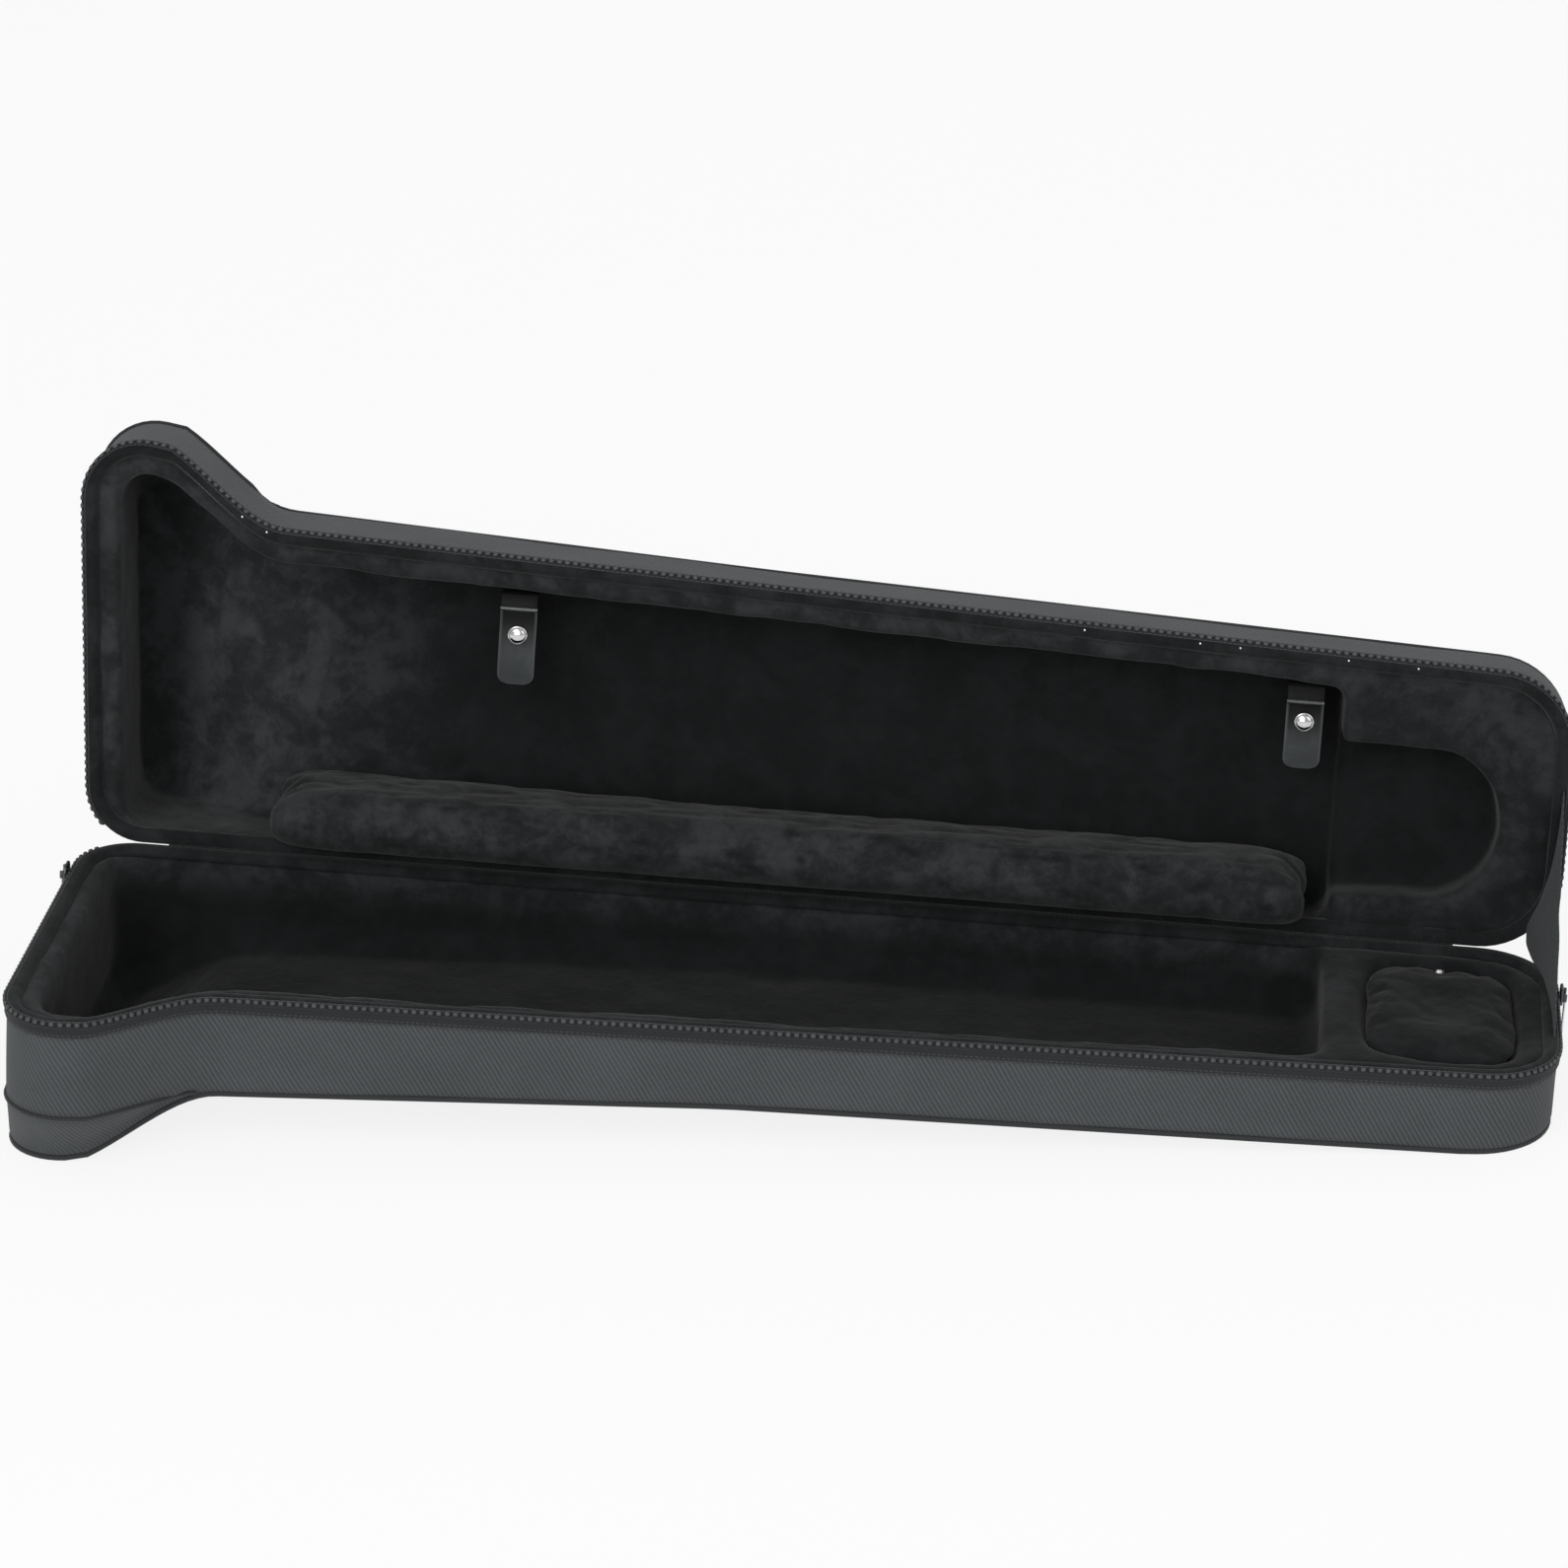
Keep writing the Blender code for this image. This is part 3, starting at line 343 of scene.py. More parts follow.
    def ring(self, side: float) -> Ring:
        """Give the whole plan outline as one closed ring, its first point repeated at the end."""
        front, rear = self.chains(side)
        return front + rear[::-1] + [front[0]]


class Value:
    """A number socket of a shader that can be used in Python expressions."""

    def __init__(self, graph: "Graph", socket: bpy.types.NodeSocket) -> None:
        """Wrap a socket."""
        self.graph = graph
        self.socket = socket

    def calc(self, operation: str, *others: "Value | float") -> "Value":
        """Add a Math node with this value first."""
        return self.graph.calc(operation, self, *others)

    def __add__(self, other: "Value | float") -> "Value":
        """Add."""
        return self.graph.calc("ADD", self, other)

    def __radd__(self, other: float) -> "Value":
        """Add to a number."""
        return self.graph.calc("ADD", other, self)

    def __sub__(self, other: "Value | float") -> "Value":
        """Subtract."""
        return self.graph.calc("SUBTRACT", self, other)

    def __rsub__(self, other: float) -> "Value":
        """Subtract from a number."""
        return self.graph.calc("SUBTRACT", other, self)

    def __mul__(self, other: "Value | float") -> "Value":
        """Multiply."""
        return self.graph.calc("MULTIPLY", self, other)

    def __truediv__(self, other: "Value | float") -> "Value":
        """Divide."""
        return self.graph.calc("DIVIDE", self, other)

    def wave(self) -> "Value":
        """Give a sine from 0 to 1 that runs through one turn per unit."""
        return (self * (2.0 * math.pi)).calc("SINE") * 0.5 + 0.5

    def ramp(self, low: float, high: float) -> "Value":
        """Give 0 below low and 1 above high, with a smooth rise between.

        Args:
            low: Where the rise starts.
            high: Where it ends.

        Returns:
            The ramp.
        """
        settings = {"interpolation_type": "SMOOTHSTEP"}
        inputs = {"Value": self, "From Min": low, "From Max": high}
        return self.graph.value("ShaderNodeMapRange", settings, inputs, "Result")


class Graph:
    """One material's nodes."""

    def __init__(self, name: str) -> None:
        """Make a material with a shader and coordinates.

        Args:
            name: The material's name.
        """
        self.material = bpy.data.materials.new(name)
        self.material.use_nodes = True
        self.tree = self.material.node_tree
        self.shader = self.tree.nodes["Principled BSDF"]
        self.output = self.tree.nodes["Material Output"]
        self.coords = self.node("ShaderNodeTexCoord")

    def node(self, kind: str, settings: dict[str, object] | None = None,
             inputs: dict[str | int, object] | None = None) -> bpy.types.Node:
        """Add a node.

        Args:
            kind: The node's type.
            settings: Its own properties, which are set first.
            inputs: A number, colour or link for each socket, by name or place.

        Returns:
            The node.
        """
        node = self.tree.nodes.new(kind)
        for key, value in (settings or {}).items():
            setattr(node, key, value)
        for key, value in (inputs or {}).items():
            self.feed(node.inputs[key], value)
        return node

    def feed(self, socket: bpy.types.NodeSocket, value: object) -> None:
        """Link a socket, or set it to a constant.

        Args:
            socket: The socket.
            value: A number, a colour or a link.
        """
        if isinstance(value, Value):
            value = value.socket
        if isinstance(value, bpy.types.NodeSocket):
            self.tree.links.new(value, socket)
        elif isinstance(value, tuple) and len(value) == 3 and socket.type == "RGBA":
            socket.default_value = (*value, 1.0)
        else:
            socket.default_value = value

    def value(self, kind: str, settings: dict[str, object], inputs: dict[str | int, object],
              output: str | int = 0) -> Value:
        """Add a node and wrap one of its outputs."""
        return Value(self, self.node(kind, settings, inputs).outputs[output])

    def calc(self, operation: str, *terms: "Value | float") -> Value:
        """Add a Math node."""
        return self.value("ShaderNodeMath", {"operation": operation}, dict(enumerate(terms)))

    def axes(self, source: str = "UV") -> tuple[Value, Value, Value]:
        """Give the three coordinates of the piece's UV map or of the object.

        Args:
            source: UV or Object.

        Returns:
            x, y and z, or u, v and nothing.
        """
        split = self.node("ShaderNodeSeparateXYZ", inputs={0: self.coords.outputs[source]})
        x, y, z = (Value(self, split.outputs[n]) for n in range(3))
        return x, y, z

    def noise(self, scale: float, detail: float, rough: float = 0.55, warp: float = 0.0) -> Value:
        """Add a noise with so many features per metre.

        Args:
            scale: Features per metre.
            detail: Number of finer layers.
            rough: Strength of the finer layers.
            warp: How far the noise bends itself.

        Returns:
            The noise, about 0.5 in its middle.
        """
        inputs = {"Vector": self.coords.outputs["Object"], "Scale": scale, "Detail": detail,
                  "Roughness": rough, "Distortion": warp}
        return self.value("ShaderNodeTexNoise", {}, inputs, "Fac")

    def cells(self, scale: float) -> Value:
        """Add a cell pattern with so many cells per metre."""
        inputs = {"Vector": self.coords.outputs["Object"], "Scale": scale}
        return self.value("ShaderNodeTexVoronoi", {}, inputs, "Distance")

    def attribute(self, name: str) -> Value:
        """Read a number that the mesh keeps at its points."""
        return self.value("ShaderNodeAttribute", {"attribute_name": name}, {}, "Fac")

    def blend(self, share: Value, low: object, high: object) -> bpy.types.NodeSocket:
        """Mix two colours.

        Args:
            share: Share of the second colour.
            low: The first colour or its link.
            high: The second colour or its link.

        Returns:
            The mixed colour.
        """
        node = self.node("ShaderNodeMix", {"data_type": "RGBA"}, {0: share})
        self.feed(node.inputs[6], low)
        self.feed(node.inputs[7], high)
        return node.outputs[2]

    def surface(self, **sockets: object) -> None:
        """Set the shader's sockets; an underscore stands for a space."""
        for key, value in sockets.items():
            self.feed(self.shader.inputs[key.replace("_", " ")], value)

    def relief(self, height: Value, depth: float, strength: float) -> None:
        """Raise the surface by a height from 0 to 1 times a depth in metres."""
        bump = self.node("ShaderNodeBump", inputs={"Height": height, "Distance": depth, "Strength": strength})
        self.feed(self.shader.inputs["Normal"], bump.outputs["Normal"])


def tone(colour: Colour, share: float) -> Colour:
    """Make a colour lighter or darker."""
    red, green, blue = colour
    return red * share, green * share, blue * share


@dataclass(frozen=True)
class Finish:
    """A finish of the case, made into a material when a piece first takes it."""

    name: str
    slot: str
    colour: Colour
    roughness: float
    dark: float = 0.62
    light: float = 1.3
    depth: float = 0.0003

    def paint(self, graph: Graph) -> None:
        """Lay the finish's pattern into a material's nodes."""
        raise NotImplementedError

    def shades(self, graph: Graph, share: Value, level: float = 1.0) -> bpy.types.NodeSocket:
        """Mix the finish's dark and light tone, both made brighter or darker by a level."""
        return graph.blend(share, tone(self.colour, level * self.dark), tone(self.colour, level * self.light))

    def material(self) -> bpy.types.Material:
        """Give the finish's material, made once.

        Returns:
            The material, with the finish's name.
        """
        known = bpy.data.materials.get(self.name)
        if known is not None:
            return known
        graph = Graph(self.name)
        self.paint(graph)
        graph.material.diffuse_color = (*self.colour, 1.0)
        return graph.material


@dataclass(frozen=True)
class Twill(Finish):
    """Woven cloth with slanting ribs, on the covers."""

    light: float = 1.42
    depth: float = 0.0005
    pitch: float = 0.0031
    slant: float = -0.60
    thread: float = 0.0010
    sway_scale: float = 60.0
    slub_scale: float = 520.0
    soil_scale: float = 14.0

    def paint(self, graph: Graph) -> None:
        """Lay slanting ribs over fine threads, with slubs and a little soiling.

        Args:
            graph: The material's nodes.
        """
        u, v, _ = graph.axes()
        sway = graph.noise(self.sway_scale, 3.0) * 0.55
        rib = ((u + v * self.slant) / self.pitch + sway).wave()
        thread = (u / self.thread).wave() * (v / self.thread).wave()
        slub = graph.noise(self.slub_scale, 3.0, 0.7)
        broad = graph.noise(self.soil_scale, 4.0, 0.65)
        height = rib * 0.60 + thread * 0.15 + slub * 0.35
        shade = (height * 0.70 + broad * 0.40).ramp(0.15, 0.95)
        graph.surface(Base_Color=self.shades(graph, shade), Roughness=self.roughness + (height - 0.5) * 0.12,
                      Sheen_Weight=0.08, Sheen_Roughness=0.5, Specular_IOR_Level=0.2)
        graph.relief(height, self.depth, 0.8)


@dataclass(frozen=True)
class Plush(Finish):
    """Short pile with patches where the nap is pressed the other way."""

    light: float = 1.48
    depth: float = 0.0006
    patch_scale: float = 26.0
    mark_share: float = 3.7
    fibre_scale: float = 1100.0
    # The next three fields give the painted shade tone for nap values below 1 and the painted light tone for
    # values above 1.
    deep: float = 0.46
    shaded_tone_shares: Pair = (0.85, 1.2)
    painted_light_level: float = 1.6

    def paint(self, graph: Graph) -> None:
        """Lay crushed patches, smaller marks and pile, with painted shade where the mesh's nap value is below
        1 and painted light where it is above 1.

        Args:
            graph: The material's nodes.
        """
        patches = graph.noise(self.patch_scale, 4.0, 0.60, 0.5).ramp(0.40, 0.64)
        marks = graph.noise(self.patch_scale * self.mark_share, 4.0, 0.68, 0.4).ramp(0.36, 0.68)
        pile = graph.noise(self.fibre_scale, 3.0, 0.75)
        nap = patches * 0.42 + marks * 0.30 + pile * 0.42
        shade = nap.ramp(0.15, 0.95)
        # Painted shade tone, plain tone and painted light tone, chosen at each point by the mesh's nap value.
        painted_shade = graph.blend(shade, *(tone(self.colour, self.deep * share) for share in self.shaded_tone_shares))
        level = graph.attribute("nap")
        colour = graph.blend(level - 1.0, graph.blend(level, painted_shade, self.shades(graph, shade)),
                             self.shades(graph, shade, self.painted_light_level))
        graph.surface(Base_Color=colour, Roughness=1.0 - nap * 0.15, Sheen_Weight=0.10, Sheen_Roughness=0.45,
                      Specular_IOR_Level=0.08)
        graph.relief(pile * 0.5 + marks * 0.5, self.depth, 0.6)


@dataclass(frozen=True)
class Braid(Finish):
    """Woven band with ribs across it and a chevron along it: zip tape, webbing and piping."""

    pitch: float = 0.0016
    chevron: float = 0.5
    sheen: float = 0.08
    fluff_scale: float = 500.0

    def paint(self, graph: Graph) -> None:
        """Lay ribs that turn back at the middle of each chevron.

        Args:
            graph: The material's nodes.
        """
        u, v, _ = graph.axes()
        zigzag = (v / (self.pitch * 2.0)).calc("PINGPONG", 1.0) * self.chevron
        rib = (u / self.pitch + zigzag).wave()
        thread = (v / (self.pitch * 0.6)).wave()
        fluff = graph.noise(self.fluff_scale, 2.0)
        height = rib * 0.6 + thread * 0.25 + fluff * 0.2
        graph.surface(Base_Color=self.shades(graph, height.ramp(0.1, 0.95)),
                      Roughness=self.roughness + (fluff - 0.5) * 0.15, Sheen_Weight=self.sheen,
                      Specular_IOR_Level=0.3)
        graph.relief(height, self.depth, 0.7)


@dataclass(frozen=True)
class Leather(Finish):
    """Smooth dark leather with fine pores and a rubbed surface; on the flaps painted shade near the fold
    turns to painted light towards the free end.
    """

    dark: float = 0.7
    light: float = 1.6
    depth: float = 0.00018
    pore_scale: float = 950.0
    crease_scale: float = 150.0
    rub_scale: float = 45.0
    gloss: float = 0.5
    # On the flaps: painted shade near the fold turning to painted light along the flap, and a painted
    # highlight at the cut edge.
    painted_light_ramp: Pair | None = None
    painted_light_shares: Pair = (0.10, 3.1)
    edge_highlight_share: float = 4.6

    def paint(self, graph: Graph) -> None:
        """Lay pebbled grain, pores and handling marks, and on the flaps a painted shade near the fold that
        turns to painted light towards the free end, with a painted highlight along the cut edge.

        Args:
            graph: The material's nodes.
        """
        grain = graph.cells(self.pore_scale).ramp(0.02, 0.55)
        crease = graph.noise(self.crease_scale, 4.0, 0.6, 0.6)
        rub = graph.noise(self.rub_scale, 3.0, 0.6).ramp(0.45, 0.75)
        height = grain * 0.6 + crease * 0.5
        low, high = tone(self.colour, self.dark), tone(self.colour, self.light)
        if self.painted_light_ramp is not None:
            # Painted shade near the fold, turning to painted light towards the flap's free end.
            painted_light = graph.axes()[0].ramp(*self.painted_light_ramp)
            low, high = (graph.blend(painted_light, *(tone(c, share) for share in self.painted_light_shares))
                         for c in (low, high))
            # Painted highlight along the cut edge, where the mesh's nap value is 1.
            edge = tone(self.colour, self.edge_highlight_share)
            low, high = (graph.blend(graph.attribute("nap"), c, edge) for c in (low, high))
        graph.surface(Base_Color=graph.blend(rub * 0.6 + crease * 0.3, low, high),
                      Roughness=self.roughness + crease * 0.14 + rub * 0.08, Specular_IOR_Level=self.gloss,
                      Coat_Weight=(rub * 0.20 + 0.20) * self.gloss, Coat_Roughness=0.25)
        graph.relief(height, self.depth, 0.6)


@dataclass(frozen=True)
class Plate(Finish):
    """Plated or painted metal with a worn polish."""

    dark: float = 0.9
    light: float = 1.0
    depth: float = 0.00004
    mark_scale: float = 120.0
    dust_scale: float = 900.0

    def paint(self, graph: Graph) -> None:
        """Lay fine scratches and finger marks in the gloss.

        Args:
            graph: The material's nodes.
        """
        marks = graph.noise(self.mark_scale, 4.0, 0.6, 0.5)
        dust = graph.noise(self.dust_scale, 2.0)
        graph.surface(Base_Color=self.shades(graph, marks.ramp(0.3, 0.8)), Metallic=1.0,
                      Roughness=self.roughness + marks.ramp(0.45, 0.8) * 0.10 + dust * 0.03)
        graph.relief(dust, self.depth, 0.3)


@dataclass(frozen=True)
class Moulded(Finish):
    """Moulded nylon of the zip teeth."""

    dark: float = 0.8
    light: float = 1.25
    depth: float = 0.00008
    mottle_scale: float = 260.0

    def paint(self, graph: Graph) -> None:
        """Lay a faint mottle and rubbed tops.

        Args:
            graph: The material's nodes.
        """
        mottle = graph.noise(self.mottle_scale, 3.0)
        graph.surface(Base_Color=self.shades(graph, mottle.ramp(0.3, 0.7)),
                      Roughness=self.roughness + mottle * 0.12, Specular_IOR_Level=0.5)
        graph.relief(mottle, self.depth, 0.4)


@dataclass(frozen=True)
class Thread(Finish):
    """Twisted sewing thread."""

    dark: float = 0.7
    light: float = 1.2
    depth: float = 0.0001
    twist: float = 0.0008

    def paint(self, graph: Graph) -> None:
        """Lay plies that run round the thread.

        Args:
            graph: The material's nodes.
        """
        x, y, z = graph.axes("Object")
        ply = ((x + y + z) / self.twist).wave()
        graph.surface(Base_Color=self.shades(graph, ply), Roughness=self.roughness + ply * 0.1)
        graph.relief(ply, self.depth, 0.5)


COVER = Twill("cover_cloth", "cover_twill", (0.061, 0.0665, 0.070), 0.82)
SPINE_CLOTH = Twill("spine_cloth", "cover_twill", (0.052, 0.057, 0.059), 0.84)
STAY_CLOTH = Twill("stay_cloth", "cover_twill", (0.042, 0.047, 0.049), 0.84)
LINING = Plush("lining_plush", "plush", (0.0205, 0.0222, 0.0232), 0.95)
PAD_PLUSH = Plush("pad_plush", "plush", (0.021, 0.0225, 0.0235), 0.95, patch_scale=34.0)
EDGE_CORD = Braid("edge_cord", "piping", (0.020, 0.022, 0.024), 0.55, pitch=0.0011, chevron=0.0)
TAPE = Braid("zip_cloth", "zip_tape", (0.0175, 0.019, 0.0205), 0.78, pitch=0.0012)
WEBBING = Braid("handle_webbing_cloth", "webbing", (0.012, 0.013, 0.014), 0.72, pitch=0.0017)
LEATHER = Leather("strap_leather", "leather", (0.0135, 0.0150, 0.0155), 0.36)
# The flap's leather has painted shade near its fold, painted light towards its end and a painted highlight at
# its cut edge.
FLAP_LEATHER = Leather("flap_leather", "leather", LEATHER.colour, 0.36, gloss=0.15, painted_light_ramp=(0.009, 0.031))
# A darker copy of the strap leather: painted shade on the root and the loop.
SHADED_LEATHER = Leather("root_leather_painted_shade", "leather", (0.0040, 0.0042, 0.0045), 0.50, gloss=0.12)
# A lighter, glossier copy for the fold roll: real gloss, and a lighter colour that is a painted highlight.
FOLD_HIGHLIGHT_LEATHER = Leather("fold_leather_painted_highlight", "leather", (0.0240, 0.0260, 0.0270), 0.20, gloss=0.8)
CHROME = Plate("snap_chrome", "chrome", (0.66, 0.66, 0.67), 0.08)
SLIDER_METAL = Plate("slider_metal", "zip_metal", (0.10, 0.105, 0.11), 0.34)
TEETH = Moulded("teeth_nylon", "zip_teeth", (0.044, 0.047, 0.050), 0.42)
SEWING = Thread("sewing_thread", "cover_twill", (0.055, 0.058, 0.060), 0.7)
STRAP_SEWING = Thread("strap_thread", "leather", (0.014, 0.0145, 0.015), 0.6)


def grid_surface(columns: int, rows: int, place: Place) -> Form:
    """Lay a grid on a surface, with a UV map in metres along its two directions.

    Args:
        columns: Cells along the first direction.
        rows: Cells along the second.
        place: Gives the point at a column and a row, both counted from 0.

    Returns:
        The grid, its own edges not yet merged.
    """
    bm = bmesh.new()
    bmesh.ops.create_grid(bm, x_segments=columns, y_segments=rows, size=1.0)
    points = [[place(i, j) for j in range(rows + 1)] for i in range(columns + 1)]
    along = [0.0]
    for first, second in zip(points, points[1:]):
        along.append(along[-1] + (second[0] - first[0]).length)
    across = [[path_length(column[:j + 1]) for j in range(rows + 1)] for column in points]
    layer = bm.loops.layers.uv.new("UVMap")
    cell = {vert: (round((vert.co.x + 1) / 2 * columns), round((vert.co.y + 1) / 2 * rows))
            for vert in bm.verts}
    for face in bm.faces:
        for loop in face.loops:
            i, j = cell[loop.vert]
            loop[layer].uv = (along[i], across[i][j])
    for vert, (i, j) in cell.items():
        vert.co = points[i][j]
    return bm


def joined(*parts: Form) -> Form:
    """Put several meshes into one and merge the points that they share.

    Args:
        parts: The meshes, which are freed.

    Returns:
        The one mesh.
    """
    whole = bmesh.new()
    for part in parts:
        mesh = bpy.data.meshes.new("part")
        part.to_mesh(mesh)
        part.free()
        whole.from_mesh(mesh)
        bpy.data.meshes.remove(mesh)
    bmesh.ops.remove_doubles(whole, verts=whole.verts, dist=MERGE)
    return whole


def repeated(template: Form, places: Iterable[Matrix]) -> Form:
    """Set copies of a small form at many places.

    Args:
        template: The small form, which is freed.
        places: A matrix for each copy.

    Returns:
        The mesh of all copies.
    """
    mesh = bpy.data.meshes.new("template")
    template.to_mesh(mesh)
    template.free()
    whole = bmesh.new()
    for place in places:
        copy = mesh.copy()
        copy.transform(place)
        whole.from_mesh(copy)
        bpy.data.meshes.remove(copy)
    bpy.data.meshes.remove(mesh)
    return whole


def stitch(size: Sequence[float]) -> Form:
    """Make one stitch.

    Args:
        size: Its three half sizes.

    Returns:
        The stitch, an egg.
    """
    bm, form = bmesh.new(), Matrix.Diagonal((*size, 1.0))
    bmesh.ops.create_uvsphere(bm, u_segments=6, v_segments=5, radius=1.0, matrix=form)
    return bm


def level_turns(path: Sequence[Vector], pitch: float, height: float) -> list[Matrix]:
    """Give places along a level path, each turned to the direction of travel.

    Args:
        path: Points of the path.
        pitch: Distance between two places.
        height: Height of the places.

    Returns:
        A matrix for each place.
    """
    return [Matrix.Translation((p.x, p.y, height)) @ Matrix.Rotation(math.atan2(w.y, w.x), 4, "Z")
            for p, w in spaced(path, pitch)]


def block(size: Sequence[float], round_edge: float, centre: Sequence[float]) -> Form:
    """Make a block with rounded edges.

    Args:
        size: Its three sizes.
        round_edge: Width of the rounding.
        centre: Its middle.

    Returns:
        The block.
    """
    bm = bmesh.new()
    place = Matrix.Translation(centre) @ Matrix.Diagonal((*size, 1.0))
    bmesh.ops.create_cube(bm, size=1.0, matrix=place)
    bmesh.ops.bevel(bm, geom=bm.edges[:], offset=round_edge, segments=2, profile=0.5, affect="EDGES",
                    material=-1)
    return bm


def turned(profile: Sequence[Pair], steps: int = 28) -> Form:
    """Turn a profile of radius and height about the z axis into a closed form.

    Args:
        profile: Pairs from the top's middle to the bottom's.
        steps: Steps of the turn.

    Returns:
        The closed form.
    """
    bm = bmesh.new()
    verts = [bm.verts.new((radius, 0.0, height)) for radius, height in profile]
    edges = [bm.edges.new(pair) for pair in zip(verts, verts[1:])]
    bmesh.ops.spin(bm, geom=verts + edges, axis=(0, 0, 1), cent=(0, 0, 0), angle=2 * math.pi, steps=steps,
                   use_merge=True)
    bmesh.ops.remove_doubles(bm, verts=bm.verts, dist=MERGE)
    return bm


def dome(radius: float, height: float, lip: float) -> list[Pair]:
    """Give the profile of a domed cap with a rolled rim.

    Args:
        radius: Outer radius.
        height: Height of the cap.
        lip: Width of the rolled rim.

    Returns:
        Pairs of radius and height.
    """
    steps, foot_share, inset_share = 8, 0.6, 0.98
    rim_shares = ((1.0, 0.45), (0.6, 0.9), (0.15, 0.75), (0.0, 0.35))
    foot = lip * foot_share
    profile = [(0.0, height)]
    for step in range(1, steps):
        angle = math.pi / 2 * step / steps
        profile.append(((radius - lip) * math.sin(angle), foot + (height - foot) * math.cos(angle)))
    profile += [(radius - lip * side, lip * rise) for side, rise in rim_shares]
    return profile + [(radius * inset_share, 0.0), (0.0, 0.0)]


def plate(outline: Sequence[Sequence[float]], thickness: float, round_edge: float) -> Form:
    """Raise a flat outline into a plate with rounded edges, centred on z = 0.

    Args:
        outline: Its corners in order.
        thickness: Its thickness.
        round_edge: Width of the rounding.

    Returns:
        The plate.
    """
    bm = bmesh.new()
    face = bm.faces.new([bm.verts.new((x, y, -thickness / 2)) for x, y in outline])
    raised = bmesh.ops.extrude_face_region(bm, geom=[face])["geom"]
    top = [item for item in raised if isinstance(item, bmesh.types.BMVert)]
    bmesh.ops.translate(bm, vec=(0, 0, thickness), verts=top)
    rims = [e for e in bm.edges if abs(e.verts[0].co.z - e.verts[1].co.z) < MERGE]
    bmesh.ops.bevel(bm, geom=rims, offset=round_edge, segments=2, profile=0.5, affect="EDGES", material=-1)
    return bm


def tube(path: Sequence[Vector], radius: float, sides: int = 8, closed: bool = False) -> Form:
    """Run a round cord along a path.

    Args:
        path: Its middle line.
        radius: Its radius.
        sides: Sides of its section.
        closed: Whether it ends where it starts.

    Returns:
        The cord.
    """
    points = list(path)
    last = len(points) - 1
    rings = []
    for index, point in enumerate(points):
        before = points[index - 1] if index else (points[-2] if closed else point)
        after = points[index + 1] if index < last else (points[1] if closed else point)
        way = (after - before).normalized()
        side = way.cross(Vector((0, 0, 1))).normalized()
        up = side.cross(way)
        rings.append([point + (side * math.cos(t) + up * math.sin(t)) * radius
                      for t in (2 * math.pi * n / sides for n in range(sides + 1))])
    bm = grid_surface(last, sides, lambda i, j: rings[i][j])
    bmesh.ops.remove_doubles(bm, verts=bm.verts, dist=MERGE)
    if not closed:
        bmesh.ops.holes_fill(bm, edges=bm.edges, sides=sides)
    return bm


def waver(bm: Form, depth: float, size: float, seed: float,
          mask: Callable[[Vector], float]) -> None:
    """Push a surface in and out by a soft noise.

    Args:
        bm: The mesh, which is changed.
        depth: Farthest push in metres.
        size: Width of one swell in metres.
        seed: Place in the noise, so that no two pieces match.
        mask: Share of the push at a point.
    """
    bm.normal_update()
    shift = Vector((seed, -seed, seed / 2))
    finer_share = 2.3
    moves = []
    for vert in bm.verts:
        push = noise.noise(vert.co / size + shift) + 0.5 * noise.noise(vert.co * finer_share / size - shift)
        moves.append(vert.normal * (push * depth * mask(vert.co)))
    for vert, move in zip(bm.verts, moves):
        vert.co += move


def thicken(piece: Piece, thickness: float, offset: float = -1.0) -> None:
    """Give an open surface its thickness.

    Args:
        piece: The surface, which is changed.
        thickness: Its thickness.
        offset: -1 for all of it inside, 0 for half on each side.
    """
    modifier = piece.modifiers.new("thickness", "SOLIDIFY")
    modifier.thickness = thickness
    modifier.offset = offset
    modifier.use_even_offset = True


def soften(piece: Piece) -> None:
    """Round a piece with a subdivision surface."""
    modifier = piece.modifiers.new("soft", "SUBSURF")
    modifier.levels = modifier.render_levels = 1


def applied(piece: Piece) -> None:
    """Apply all modifiers of a piece.

    Args:
        piece: The piece, which is changed.
    """
    graph = bpy.context.evaluated_depsgraph_get()
    mesh = bpy.data.meshes.new_from_object(piece.evaluated_get(graph))
    piece.modifiers.clear()
    old = piece.data
    piece.data = mesh
    bpy.data.meshes.remove(old)


